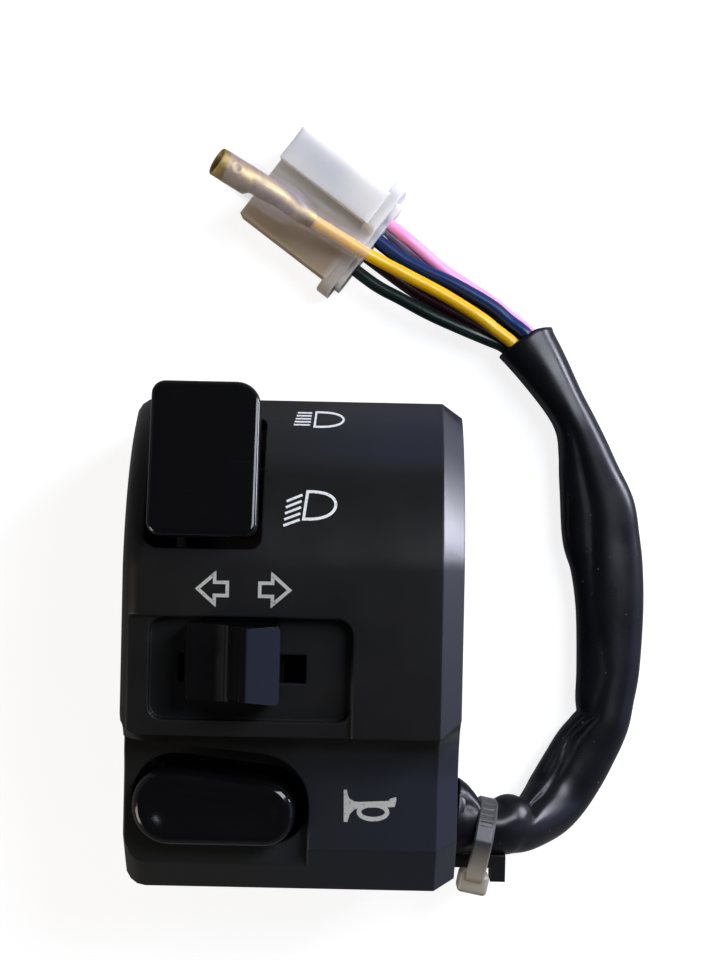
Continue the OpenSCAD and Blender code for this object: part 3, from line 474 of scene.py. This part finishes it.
printing_inks = {}
for name, bare, full in (("white", "#a2a3a2", "#dedfdd"), ("worn", "#767874", "#b2b3ac")):
    # Pad-printing ink: flat off-white, or greyed by rubbing, and thin enough for the grain below to show
    # as small breaks
    printing_inks[name], tree, skin = new_finish(name + "_pad_print_ink")
    where = put(tree, "TexCoord").outputs["Object"]
    breaks = put(tree, "TexNoise", {"Vector": where, "Scale": 1 / (0.35 * MM), "Detail": 3.0})
    thin = put(tree, "MapRange", {"Value": breaks, "From Min": 0.30, "From Max": 0.42})
    tone = put(tree, "Mix", {"Factor": thin, "A": linear(bare), "B": linear(full)}, data_type="RGBA")
    dull = put(tree, "MapRange", {"Value": breaks, "To Min": 0.45, "To Max": 0.7})
    film = put(tree, "Bump", {"Strength": 0.2, "Distance": 0.01 * MM, "Height": breaks})
    fill(skin, {"Base Color": tone, "Roughness": dull, "Normal": film})


def skin_height(y):
    """Height of the front skin where the symbols are: crown, flat or foot."""
    crown_radius, crown_foot = 33, 4.5
    flat_foot, flat_height, foot_height = -18, 32.69, 24.99
    if y > crown_foot:
        return math.sqrt(crown_radius * crown_radius - y * y)
    return flat_height if y > flat_foot else foot_height


def stroke(bm, points, width, closed):
    """A printed line through points in plan, laid on the skin."""
    longest_part, sharpest_mitre = 0.4, 0.45
    ink_foot, ink_top = -0.02, 0.035
    count = len(points)
    dense = []
    for i in range(count if closed else count - 1):
        p, q = Vector(points[i]), Vector(points[(i + 1) % count])
        parts = max(1, round((q - p).length / longest_part))
        dense += [p.lerp(q, t / parts) for t in range(parts)]
    if not closed:
        dense.append(Vector(points[-1]))
    total = len(dense)
    sections = []
    for i, p in enumerate(dense):
        before = dense[(i - 1) % total] if closed or i else p
        after = dense[(i + 1) % total] if closed or i < total - 1 else p
        u = (p - before).normalized() if p != before else (after - p).normalized()
        v = (after - p).normalized() if p != after else u
        square = Vector((-(u + v).y, (u + v).x)).normalized()
        reach = width / 2 / max(sharpest_mitre, square.dot(Vector((-u.y, u.x))))
        section = []
        for side in (-1, 1):
            at = p + square * reach * side
            for lift in (ink_foot, ink_top):
                section.append(bm.verts.new(Vector((at.x, at.y, skin_height(at.y) + lift)) * MM))
        sections.append(section)
    for i in range(total if closed else total - 1):
        (a, b, c, d), (e, f, g, h) = sections[i], sections[(i + 1) % total]
        bm.faces.new((b, d, h, f))
        bm.faces.new((a, b, f, e))
        bm.faces.new((d, c, g, h))
    if not closed:
        for a, b, c, d in (sections[0], sections[-1]):
            bm.faces.new((a, c, d, b))


def printed(name, strokes, ink, patch=()):
    """One printed symbol: strokes (points, width, closed or not) and a filled patch on the flat."""
    bm = bmesh.new()
    for points, width, closed in strokes:
        stroke(bm, points, width, closed)
    if patch:
        tops, feet = [[bm.verts.new(Vector((x, y, skin_height(y) + lift)) * MM) for x, y in patch]
                      for lift in (0.03, -0.02)]
        bm.faces.new(tops)
        for i in range(len(patch)):
            bm.faces.new((tops[i - 1], tops[i], feet[i], feet[i - 1]))
    bmesh.ops.recalc_face_normals(bm, faces=bm.faces)
    piece = fitted(name, as_mesh(name, bm), printing_inks[ink], "case")


def lamp(left, right, low, high, lean):
    """The D of a lamp sign: a nearly straight back and a bowed front."""
    middle, half = (low + high) / 2, (high - low) / 2
    points = []
    for k in range(25):
        a = math.pi / 2 - math.pi * k / 24
        bow = max(math.cos(a), 0) ** 0.7
        points.append((left + (right - left) * bow + lean * math.sin(a) * 0.5, middle + half * math.sin(a)))
    return points


high_rays = [([(-0.75 + 0.13 * k, 25.72 + 0.47 * k), (1.75 + 0.05 * k, 25.72 + 0.47 * k)], 0.24, False)
             for k in range(5)]
printed("sign_high_beam", [(lamp(2.5, 6.75, 25.45, 27.75, 0.2), 0.32, True)] + high_rays, "white")
low_rays = [([(-1.6 + 0.09 * k, 10.75 + 0.88 * k), (0.75 + 0.07 * k, 11.65 + 0.9 * k)], 0.36, False)
            for k in range(5)]
printed("sign_low_beam", [(lamp(1.55, 5.95, 11.75, 15.75, 0.5), 0.42, True)] + low_rays, "white")
for name, tip, way in (("sign_turn_left", -13.75, 1), ("sign_turn_right", -0.45, -1)):
    neck, tail = tip + 2.45 * way, tip + 4.3 * way
    arrow = [(tip, 1.45), (neck, -0.7), (neck, 0.5), (tail, 0.5), (tail, 2.4), (neck, 2.4), (neck, 3.6)]
    printed(name, [(arrow, 0.5, True)], "worn")
horn_ring_angles = [2 * math.pi * k / 28 for k in range(28)]
ring_of_horn = [(12.36 + 2.1 * math.cos(a), -31.57 + 1.05 * math.sin(a)) for a in horn_ring_angles]
trumpet = [(7.95, -28.36), (8.42, -28.35), (8.58, -29.14), (8.87, -29.67), (9.53, -30.02), (10.25, -30.11),
           (14.56, -29.88), (14.84, -29.55), (15.69, -29.28), (15.81, -29.53), (15.58, -30.72),
           (14.76, -30.81), (10.27, -30.97), (9.56, -31.27), (8.92, -31.93), (8.62, -33.09), (8.05, -33.1)]
printed("sign_horn", [(ring_of_horn, 0.66, True)], "worn", trumpet)


# Wires
# Seven copper leads in coloured PVC, run from the boards through the case, up the sleeve and out of
# its mouth: six to the plug, and the yellow one to a bullet socket.
wire_tones = {"yellow": ("#e8ba0d", "#d39d06"), "blue": ("#0a2d62", "#082148"),
              "pink": ("#ff8cc0", "#f7a3cd"), "grey": ("#b8b4d4", "#a29ec2"),
              "black": ("#08080a", "#0e0e10"), "brown": ("#2f0e14", "#230a10"),
              "green": ("#0b211b", "#071512")}
wire_pvc = {}
for colour, (pale, deep) in wire_tones.items():
    # Extruded PVC: evenly coloured, waxy and shiny, with faint die lines and a little handling dirt
    wire_pvc[colour], tree, skin = new_finish(colour + "_wire_pvc")
    where = put(tree, "TexCoord").outputs["Object"]
    dirt = put(tree, "TexNoise", {"Vector": where, "Scale": 1 / (3 * MM), "Detail": 5.0})
    tone = put(tree, "Mix", {"Factor": dirt, "A": linear(pale), "B": linear(deep)}, data_type="RGBA")
    waxy = put(tree, "MapRange", {"Value": dirt, "To Min": 0.2, "To Max": 0.42})
    die = put(tree, "TexNoise", {"Vector": where, "Scale": 1 / (0.6 * MM), "Detail": 2.0})
    lined = put(tree, "Bump", {"Strength": 0.12, "Distance": 0.02 * MM, "Height": die})
    fill(skin, {"Base Color": tone, "Roughness": waxy, "Normal": lined, "IOR": 1.45})


def smooth_route(points, parts):
    """A smooth line through points, with a number of parts between each two."""
    pts = [Vector(p) for p in points]
    pts = [pts[0] * 2 - pts[1]] + pts + [pts[-1] * 2 - pts[-2]]
    line = []
    for i in range(1, len(pts) - 2):
        a, b, c, d = pts[i - 1:i + 3]
        pull, bend, twist = c - a, 2 * a - 5 * b + 4 * c - d, 3 * b - 3 * c + d - a
        for s in range(parts):
            t = s / parts
            line.append(b + (pull * t + bend * t ** 2 + twist * t ** 3) * 0.5)
    return line + [pts[-2]]


# Inside the case the leads run as one twisted bundle from the boards to the outlet, six round the seventh
loom_route = [(12, 24.4, 6), (12, 22, 8.5), (12, 17, 13.5), (12.4, 9, 17), (12.5, 0, 18), (12.5, -9, 17),
              (12.6, -18, 13), (13, -26, 7), (14.2, -32.5, 2), (16.2, -36.2, 0.2), (19.6, -36.8, 0)]
loom = smooth_route(loom_route, 8)
loom_up = Vector((1, 0.2, 0.3))
outer_leads, bundle_radius, inner_lead_radius, twist_step = 6, 1.9, 0.9, 0.035
for n, colour in enumerate(wire_tones):
    strand = []
    for i, p in enumerate(loom):
        side, over = across(loom, i, loom_up)
        angle = 2 * math.pi * n / outer_leads + twist_step * i
        reach = 0 if n == outer_leads else bundle_radius
        strand.append(p + side * reach * math.cos(angle) + over * reach * math.sin(angle))
    lead = skinned("inner_lead_" + colour, round_rings(strand, inner_lead_radius, 12, loom_up),
                   wire_pvc[colour], "case")
    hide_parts("inner_loom")

# From the sleeve's mouth on, each lead has its own course
wire_routes = {
    "yellow": [(34, 40.7, -9.1), (31.3, 42.7, -8.9), (28.3, 44.9, -8.6), (22.3, 48.4, -8.1),
               (16.2, 51.4, -7.3), (9.6, 54.6, -5.9), (5, 57.1, -4), (1, 59.3, -2.4)],
    "blue": [(36.3, 42.3, -9.6), (33.4, 44.5, -9.8), (30.4, 46.9, -9.9), (24.4, 50.2, -9.9),
             (19, 52.6, -9.9), (14.8, 54.9, -9.9), (8.4, 59.7, -9.9)],
    "pink": [(36.9, 42.7, -12.2), (34, 45, -12.3), (30.8, 47.5, -12.4), (27, 49.9, -12.1),
             (22.4, 52.8, -11.5), (16.6, 57.4, -9.9), (10.2, 62.2, -9.9)],
    "grey": [(35.6, 41.9, -14), (32.9, 44.6, -14.4), (29.6, 47.4, -14.5), (25.6, 50.4, -14.2),
             (20.9, 53.2, -13.8), (15.9, 56.8, -13.6), (10.2, 62.2, -13.6)],
    "black": [(34.9, 41.4, -11.5), (32.2, 43.5, -12), (29.2, 45.6, -12.8), (24.6, 48.4, -13.4),
              (19.3, 51.8, -13.6), (14.8, 54.9, -13.6), (8.4, 59.7, -13.6)],
    "brown": [(33.6, 40.5, -13.3), (30.9, 42, -13.2), (28.4, 43.3, -13.2), (24.4, 45.6, -13.4),
              (18.6, 48.7, -13.6), (13, 52.5, -13.6), (6.5, 57.2, -13.6)],
    "green": [(32.8, 40.1, -11), (30.2, 41.2, -10.7), (26.5, 42.6, -10.2), (20.5, 45.1, -9.9),
              (15.4, 47.7, -9.9), (11, 50, -9.9), (4.6, 54.7, -9.9)]}
sleeve_end = Vector((35.95, 41.35, -11.7))
# Two points of the bundle inside the sleeve, with how far the leads are spread there
bundle_points = ((Vector((39.4, 36.4, -11.75)), 0.8), (Vector((37.6, 39.2, -11.7)), 0.92))
lead_radius = 1.05
for colour, route in wire_routes.items():
    off = Vector(route[0]) - sleeve_end
    line = smooth_route([p + off * spread for p, spread in bundle_points] + route, 10)
    skinned("lead_" + colour, round_rings(line, lead_radius, 20), wire_pvc[colour], "case")
    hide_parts("wire_" + colour)


# Sleeve
# A soft PVC tube over the leads, 100 mm from the case to its cut end. It is wider than the bundle, so it
# lies flattened, creases where it turns up after the tie, and twists narrow before its mouth.

# Soft PVC tubing: black, oily-looking and shiny, with long shallow ripples and a dusty bloom.
sleeve_pvc, tree, skin = new_finish("soft_black_pvc")
where = put(tree, "TexCoord").outputs["Object"]
lighter_where = put(tree, "TexNoise", {"Vector": where, "Scale": 1 / (7 * MM), "Detail": 5.0})
speck = put(tree, "TexVoronoi", {"Vector": where, "Scale": 1 / (2.2 * MM)})
dust = put(tree, "MapRange", {"Value": speck.outputs["Distance"], "From Min": 0.075, "From Max": 0.05})
tone = put(tree, "Mix", {"Factor": lighter_where, "A": linear("#0b0b0d"), "B": linear("#121217")}, data_type="RGBA")
tone_dusty = put(tree, "Mix", {"Factor": dust, "A": tone, "B": linear("#4a4c50")}, data_type="RGBA")
shine = put(tree, "MapRange", {"Value": lighter_where, "From Min": 0.3, "From Max": 0.7,
                               "To Min": 0.24, "To Max": 0.36})
ripple = put(tree, "TexNoise", {"Vector": where, "Scale": 1 / (2.6 * MM), "Detail": 2.0})
rippled = put(tree, "Bump", {"Strength": 0.22, "Distance": 0.06 * MM, "Height": ripple})
fill(skin, {"Base Color": tone_dusty, "Roughness": shine, "Normal": rippled, "Specular IOR Level": 0.3})

# Stations along the sleeve: centre, half width to the left and right of it, half height, then where the
# crease along its top lies across the width, and how deep it is
sleeve_stations = [
    (20.0, -36.8, 0.0, 4.2, 4.2, 4.2, 0.5, 0.0), (24.6, -36.8, 0.0, 4.2, 4.2, 4.2, 0.5, 0.0),
    (25.4, -36.9, -0.1, 7.0, 5.0, 4.8, 0.5, 0.0), (26.8, -37.0, -0.2, 6.5, 5.0, 4.6, 0.5, 0.12),
    (28.0, -37.1, -0.4, 5.3, 4.7, 4.3, 0.5, 0.08), (29.0, -37.2, -0.7, 3.9, 4.5, 3.9, 0.4, 0.0),
    (30.6, -37.3, -1.2, 2.9, 4.4, 3.9, 0.3, 0.0), (32.4, -37.5, -2.0, 3.6, 4.7, 4.2, 0.3, 0.0),
    (34.5, -37.5, -3.4, 4.75, 4.9, 4.3, 0.3, 0.0), (37.3, -37.9, -5.6, 3.7, 4.3, 4.0, 0.65, 0.25),
    (40.9, -36.0, -8.8, 4.85, 4.9, 3.9, 0.5, 0.18), (43.3, -33.4, -10.8, 5.3, 5.3, 3.8, 0.4, 0.08),
    (45.8, -29.5, -11.7, 5.4, 5.4, 3.8, 0.45, 0.1), (47.7, -26.2, -12.0, 5.3, 5.25, 3.7, 0.6, 0.18),
    (49.4, -23.4, -12.1, 4.85, 4.9, 3.7, 0.55, 0.16), (50.5, -21.0, -12.2, 4.5, 4.6, 3.7, 0.41, 0.14),
    (50.8, -17.7, -12.3, 4.9, 4.9, 3.6, 0.25, 0.12), (51.2, -12.6, -12.4, 5.2, 5.3, 3.5, 0.12, 0.05),
    (51.3, -3.0, -12.5, 5.6, 5.65, 3.4, 0.46, 0.06), (50.6, 4.0, -12.5, 5.9, 6.1, 3.4, 0.38, 0.13),
    (49.7, 8.6, -12.5, 6.4, 6.4, 3.4, 0.25, 0.17), (48.9, 13.9, -12.4, 6.2, 6.2, 3.5, 0.2, 0.18),
    (47.4, 19.5, -12.2, 5.1, 5.0, 3.7, 0.21, 0.17), (46.3, 23.5, -12.0, 4.2, 4.2, 3.9, 0.23, 0.12),
    (44.9, 27.3, -11.8, 3.4, 3.6, 4.1, 0.3, 0.05), (42.9, 31.1, -11.7, 3.45, 3.5, 4.1, 0.5, 0.0),
    (39.2, 37.0, -11.7, 4.3, 4.3, 4.1, 0.6, 0.0), (36.0, 41.5, -11.7, 5.0, 5.0, 4.1, 0.6, 0.0)]
sleeve_line = smooth_route([s[:3] for s in sleeve_stations], 9)
sleeve_form = smooth_route([s[3:6] for s in sleeve_stations], 9)
sleeve_crease = smooth_route([(s[6], s[7], 0) for s in sleeve_stations], 9)
sleeve_wall = 0.75
above_table = -15.95
boxiness = 0.94
crease_width, crease_power = 0.15, 1.5
sleeve_turns = [2 * math.pi * j / 72 for j in range(72)]


def sleeve_ring(i, shrink=0.0):
    """A flattened section with the crease along its top, resting on the table where it reaches it."""
    p, (left, right, tall), (crease, depth, _) = sleeve_line[i], sleeve_form[i], sleeve_crease[i]
    side, over = across(sleeve_line, i, UP, 3)
    ring = []
    for a in sleeve_turns:
        c, s = math.cos(a), math.sin(a)
        u = ((left if c > 0 else right) - shrink) * math.copysign(abs(c) ** boxiness, c)
        v = (tall - shrink) * math.copysign(abs(s) ** boxiness, s)
        if s > 0:
            v -= depth * tall * math.exp(-abs((c - crease) / crease_width) ** crease_power) * min(1, 3 * s)
        at = p + side * u + over * v
        ring.append(Vector((at.x, at.y, max(at.z, above_table))))
    return ring


last = len(sleeve_line) - 1
cut_way = (sleeve_line[last] - sleeve_line[last - 3]).normalized()


def cut_ring(i, shrink=0.0, lip=0.0):
    """A ring near the mouth, drawn back at both corners, because the cut is rounded."""
    right_cut, left_cut, cut_power = 2.2, 0.8, 1.5
    share = max(0, 1 - 0.3 * (last - i))
    drawn = []
    for a, q in zip(sleeve_turns, sleeve_ring(i, shrink)):
        c = math.cos(a)
        back = right_cut * max(0, -c - 0.35) ** cut_power + left_cut * max(0, c - 0.5) ** cut_power
        drawn.append(q + cut_way * (lip - back * share))
    return drawn


# The outside to the mouth, round the cut lip, and a little way back inside
rings = [cut_ring(i) for i in range(last + 1)]
for shrink, lip in ((0.08, 0.14), (0.3, 0.26), (0.55, 0.22), (0.72, 0.08)):
    rings.append(cut_ring(last, shrink, lip))
rings += [cut_ring(i, sleeve_wall) for i in range(last, last - 12, -1)]
sleeve = skinned("loom_sleeve", rings, sleeve_pvc, "case", sharp=60)
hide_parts("sleeve")


# Cable tie
# A 3 mm nylon tie pulled tight round the sleeve and the tab of the rear case: a toothed band bent
# into a loop, through a moulded head that its pawl locks in.

# Natural nylon, moulded thin: a dark cloudy grey where the black sleeve shows through the band, and a
# pale beige in the thick head, with a slick satin skin. The beige is also carried up the band from the head
# to its bend as painted light.
band_way = (0.1908, 0.9816, 0.0)
tie_nylon, tree, skin = new_finish("thin_natural_nylon")
where = put(tree, "TexCoord").outputs["Object"]
cloudy = put(tree, "TexNoise", {"Vector": where, "Scale": 1 / (2.5 * MM), "Detail": 4.0})
down_band = put(tree, "VectorMath", {0: where, 1: band_way}, operation="DOT_PRODUCT")
# Painted light on the band below its bend, drawn beige like the thick head it runs into; the head's beige is
# its own
head_and_painted_light = put(tree, "MapRange", {"Value": down_band, "From Min": -32.8 * MM, "From Max": -39.2 * MM})
band_tone = put(tree, "Mix", {"Factor": cloudy, "A": linear("#4a4b4b"), "B": linear("#414240")},
                data_type="RGBA")
tone = put(tree, "Mix", {"Factor": head_and_painted_light, "A": band_tone, "B": linear("#9a9485")}, data_type="RGBA")
slick = put(tree, "MapRange", {"Value": cloudy, "To Min": 0.25, "To Max": 0.42})
drag = put(tree, "TexNoise", {"Vector": where, "Scale": 1 / (0.5 * MM), "Detail": 3.0})
dragged = put(tree, "Bump", {"Strength": 0.2, "Distance": 0.02 * MM, "Height": drag})
fill(skin, {"Base Color": tone, "Roughness": slick, "Normal": dragged, "IOR": 1.53, "Subsurface Weight": 0.2,
            "Subsurface Radius": (1.0, 0.95, 0.85), "Subsurface Scale": 0.8 * MM})

band_top, band_foot, band_edge = 0.55, -0.53, 0.3
band_step, tooth_depth, tooth_parts = 0.16, 0.12, 4
tie_place = Matrix.Translation((30.2, -38.35, 0)) @ Matrix.Rotation(math.radians(-11), 4, "Z")
loop = corner_arcs([(-7.7, -6.7), (5.15, -6.7), (5.15, 0.9), (3.0, 4.0), (-0.7, 5.5), (-7.7, 4.0)],
                   (3.0, 3.6, 3.0, 3.0, 1.0, 1.4), band_top)
dense = []
for i, p in enumerate(loop):
    q = loop[(i + 1) % len(loop)]
    parts = max(1, round((q - p).length / band_step))
    dense += [p.lerp(q, t / parts) for t in range(parts)]
rings = []
for i, p in enumerate(dense + dense[:1]):
    before, after = dense[(i - 1) % len(dense)], dense[(i + 1) % len(dense)]
    way = (after - before).normalized()
    out = Vector((way.y, -way.x))
    on_top = p.x > 1.4 and p.y > -2
    toothed = on_top and (i // tooth_parts) % 2
    floor = band_top - (tooth_depth if toothed else 0.0)
    ring = []
    for x, t in ((-1.25, band_top), (-1.0, band_top), (-0.95, floor), (0.95, floor), (1.0, band_top),
                 (1.25, band_top), (1.5, band_edge), (1.5, -band_edge), (1.25, band_foot),
                 (-1.25, band_foot), (-1.5, -band_edge), (-1.5, band_edge)):
        q = p + out * t
        ring.append(tie_place @ Vector((x, q.x, q.y)))
    rings.append(ring)
tie = skinned("tie_band", rings, tie_nylon, "case", capped=False, sharp=30)
head_size, head_middle, head_rounding = (4.8, 3.4, 5.0), (0, -7.9, 0.9), 0.7
bm = bmesh.new()
bmesh.ops.create_cube(bm, size=1)
bmesh.ops.scale(bm, vec=head_size, verts=bm.verts)
bmesh.ops.translate(bm, vec=head_middle, verts=bm.verts)
bmesh.ops.bevel(bm, geom=bm.edges[:], offset=head_rounding, segments=4, profile=0.5, affect="EDGES")
bmesh.ops.transform(bm, matrix=Matrix.Scale(MM, 4) @ tie_place, verts=bm.verts)
mesh = as_mesh("tie_head", bm)
mesh.shade_smooth()
tie_head = fitted("tie_head", mesh, tie_nylon, "case")
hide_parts("cable_tie")


# Plug
# The six-way plug on the leads: a milky nylon housing with a raised keying ridge along one side, a
# flange that stops it in its holder, and six brass blades inside its mouth.

# Milky nylon: milk-white along the thick ridge and greyer in the thin flange. Over the low half beside the
# ridge, shade is painted into the colour as a greyish beige, weaker on the flange.
plug_across, plug_along = (-0.5934, -0.8049, 0.0), (-0.8049, 0.5934, 0.0)
plug_nylon, tree, skin = new_finish("milky_nylon_painted_shade")
where = put(tree, "TexCoord").outputs["Object"]
flow = put(tree, "TexNoise", {"Vector": where, "Scale": 1 / (4 * MM), "Detail": 4.0})
# Painted shade: the low half beside the ridge is drawn a greyish beige, with less of it on the flange
sideways = put(tree, "VectorMath", {0: where, 1: plug_across}, operation="DOT_PRODUCT")
low_half = put(tree, "MapRange", {"Value": sideways, "From Min": -52.5 * MM, "From Max": -49.5 * MM},
               interpolation_type="SMOOTHSTEP")
lengthwise = put(tree, "VectorMath", {0: where, 1: plug_along}, operation="DOT_PRODUCT")
past_flange = {"Value": lengthwise, "From Min": 27.0 * MM, "From Max": 28.6 * MM}
body_part = put(tree, "MapRange", {**past_flange, "To Min": 0.55, "To Max": 1.0})
painted_shade = put(tree, "Math", {0: low_half, 1: body_part}, operation="MULTIPLY")
flange_tone = put(tree, "Mix", {"Factor": flow, "A": linear("#cececb"), "B": linear("#c6c5c1")},
                  data_type="RGBA")
thick = put(tree, "MapRange", past_flange)
milk = put(tree, "Mix", {"Factor": thick, "A": flange_tone, "B": linear("#dbdad7")}, data_type="RGBA")
tone = put(tree, "Mix", {"Factor": painted_shade, "A": milk, "B": linear("#9b8c77")}, data_type="RGBA")
satin = put(tree, "MapRange", {"Value": flow, "To Min": 0.3, "To Max": 0.5})
ripple = put(tree, "TexNoise", {"Vector": where, "Scale": 1 / (1.4 * MM), "Detail": 3.0})
waved = put(tree, "Bump", {"Strength": 0.3, "Distance": 0.05 * MM, "Height": ripple})
fill(skin, {"Base Color": tone, "Roughness": satin, "Normal": waved, "Specular IOR Level": 0.2,
            "Subsurface Weight": 1.0, "Subsurface Radius": (1.0, 0.93, 0.82), "Subsurface Scale": 5 * MM})
plug = moulded("connector_housing", 0.55, plug_nylon, "case", steps=4)


# Bullet socket
# The end of the yellow lead: a rolled brass socket, 4.7 mm across, crimped on the wire, with a detent
# dimple near its mouth and a clear soft sleeve pushed over the joint.
bullet_place = (Matrix.Translation((-14.35, 67.65, 4.0)) @ Matrix.Rotation(math.radians(-28.6), 4, "Z")
                @ Matrix.Rotation(math.radians(20), 4, "Y"))
bullet_radius = 2.35


def turned_on(name, profile, finish, shape, sharp=35):
    """A piece turned about the bullet's axis: distance along it, radius, and its departures from round."""
    count = 64
    rings = []
    for x, r in profile:
        ring = []
        for j in range(count):
            a = 2 * math.pi * j / count
            along, out = shape(x, a)
            ring.append(bullet_place @ Vector((x + along, (r + out) * math.cos(a), (r + out) * math.sin(a))))
        rings.append(ring)
    return skinned(name, rings, finish, "case", capped=False, sharp=sharp)


def dimpled(x, a):
    """A dimple near the mouth, a seam along the underside, and a neck cut in behind the rolled barrel."""
    dimple_x, dimple_a, seam_a = 2.9, 1.31, 3.75
    barrel_end, crimp = 6.2, 14
    round_to = (a - dimple_a) * bullet_radius
    dent = -0.34 * math.exp(-((x - dimple_x) / 0.48) ** 2 - (round_to / 0.5) ** 2)
    rim = 0.08 * math.exp(-((math.hypot(x - dimple_x, round_to) - 0.85) / 0.2) ** 2)
    seam = -0.22 * math.exp(-((a - seam_a) * bullet_radius / 0.14) ** 2)
    neck = -0.4 * min(max(0, x - barrel_end), 0.9, max(0, crimp - x) / 2.6) * (1 - math.cos(a))
    return 0.0, dent + rim + seam + neck if 0.2 < x < crimp else 0.0


socket_bore = [(10.0, 0.02), (10.0, 1.9), (9.8, 1.95), (5.0, 1.95), (0.35, 1.95)]
socket_lip = [(0.1, 2.02), (0.0, 2.15), (0.08, 2.28), (0.3, bullet_radius)]
socket_barrel = [(1.2 + 0.17 * k, bullet_radius) for k in range(21)]
socket_barrel += [(x, bullet_radius) for x in (5.6, 6.2, 6.4, 6.7)]
socket_neck = [(7.1, 2.34), (7.6, 2.33), (8.5, 2.3), (10.5, 2.16), (11.6, 2.0), (12.2, 1.9), (13.2, 1.62)]
socket_crimp = [(14.0, 1.55), (14.2, 1.46), (15.2, 1.46), (15.4, 1.54), (17.0, 1.52), (17.2, 1.44),
                (18.2, 1.44), (18.45, 1.35), (18.5, 1.0), (18.5, 0.02)]
bullet = turned_on("bullet_socket", socket_bore + socket_lip + socket_barrel + socket_neck + socket_crimp,
                   brass, dimpled)
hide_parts("bullet_terminal")

# Clear soft PVC, thin enough to show the brass: a milky lavender film that doubles up at its edges.
clear_pvc, tree, skin = new_finish("clear_soft_pvc")
where = put(tree, "TexCoord").outputs["Object"]
fog = put(tree, "TexNoise", {"Vector": where, "Scale": 1 / (3 * MM), "Detail": 3.0})
fogged = put(tree, "MapRange", {"Value": fog, "To Min": 0.08, "To Max": 0.22})
milky = put(tree, "MapRange", {"Value": fog, "From Min": 0.3, "From Max": 0.7,
                               "To Min": 0.07, "To Max": 0.12})
wave = put(tree, "TexNoise", {"Vector": where, "Scale": 1 / (1.5 * MM), "Detail": 1.0})
waved = put(tree, "Bump", {"Strength": 0.15, "Distance": 0.05 * MM, "Height": wave})
fill(skin, {"Base Color": linear("#d5cee6"), "Roughness": fogged, "Alpha": milky, "Normal": waved})


def slant_cut(x, a):
    """The sleeve's mouth is cut a little aslant."""
    return 0.5 * (1 - math.cos(a - 0.4)) * max(0, 1 - (x - 1) / 9), 0.0


film_outside = [(1.0, 2.42), (1.05, 2.5), (1.4, 2.56), (3.0, 2.74), (5.0, 2.95), (7.0, 3.03),
                (11.0, 3.03), (13.2, 3.03), (14.2, 2.95), (15.2, 2.65), (16.4, 2.2), (17.2, 1.98),
                (18.0, 1.9), (28.7, 1.88), (28.95, 1.75), (29.0, 1.5)]
film_inside = [(28.8, 1.25), (17.6, 1.25), (16.5, 1.7), (14.5, 2.3), (13.4, 2.42), (11.0, 2.45),
               (8.0, 2.45), (5.0, 2.45), (2.4, 2.42), (1.0, 2.42)]
clear = turned_on("clear_socket_sleeve", film_outside + film_inside, clear_pvc, slant_cut, sharp=50)
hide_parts("bullet_insulator")


# Studio
# A plain white table with soft light from a tall window to the upper right, a low one beside it, a little
# blue daylight from the right, a warm bounce off the wall to the left, pale walls and a dim ceiling,
# seen from straight above.
bpy.ops.mesh.primitive_plane_add(size=20, location=(0, 0, -16.02 * MM))
table = bpy.context.object
table.name = "table"
# Matt white board: it takes the soft shadow of the cluster, and glows to the camera so that it stays white.
white_table, tree, skin = new_finish("white_table")
ray = put(tree, "LightPath").outputs
seen = put(tree, "Math", {0: ray["Is Camera Ray"], 1: ray["Is Transmission Ray"]}, operation="MAXIMUM")
fill(skin, {"Base Color": linear("#9c9c9c"), "Roughness": 0.9})
glow = put(tree, "Emission", {"Color": (1, 1, 1, 1), "Strength": 0.85})
glowing = put(tree, "AddShader", {0: skin, 1: glow})
show = put(tree, "MixShader", {"Fac": seen, 1: skin, 2: glowing})
fill(tree.nodes["Material Output"], {"Surface": show})
table.data.materials.append(white_table)

# The room is brightest low down, where the pale walls are
world = bpy.data.worlds.new("room")
bpy.context.scene.world = world
world.use_nodes = True
tree = world.node_tree
up_or_down = put(tree, "SeparateXYZ", {"Vector": put(tree, "TexCoord").outputs["Generated"]}).outputs["Z"]
walls = put(tree, "MapRange", {"Value": up_or_down, "From Min": 0.1, "From Max": 0.7,
                               "To Min": 0.5, "To Max": 0.1})
fill(tree.nodes["Background"], {"Color": linear("#b9bcc4"), "Strength": walls})

aim = Vector((0.01, 0.0, 0.01))
for name, place, size, watts, tint in (
        ("tall_window", (0.22, 0.16, 0.27), (0.12, 0.30), 1.6, "#eef2ff"),
        ("low_window", (0.325, 0.15, 0.025), (0.16, 0.07), 1.15, "#ececff"),
        ("side_daylight", (0.50, 0.0, 0.12), (0.30, 0.24), 0.20, "#93a8f0"),
        ("wall_bounce", (-0.42, -0.20, 0.20), (0.18, 0.24), 1.1, "#fff0e0")):
    lamp_data = bpy.data.lights.new(name, "AREA")
    lamp_data.shape = "RECTANGLE"
    lamp_data.size, lamp_data.size_y = size
    lamp_data.energy = watts
    lamp_data.color = linear(tint)[:3]
    light = bpy.data.objects.new(name, lamp_data)
    light.location = place
    light.rotation_euler = (aim - Vector(place)).to_track_quat("-Z", "Y").to_euler()
    bpy.context.collection.objects.link(light)

camera = bpy.data.objects.new("camera", bpy.data.cameras.new("camera"))
camera.data.sensor_fit = "VERTICAL"
camera.data.sensor_height = 36
camera.data.lens = 77.85
camera.location = (9.4 * MM, 17.6 * MM, 332.7 * MM)
camera.rotation_euler = (0, 0, math.radians(1.2))
bpy.context.collection.objects.link(camera)
bpy.context.scene.camera = camera
bpy.context.scene.view_settings.view_transform = "Standard"
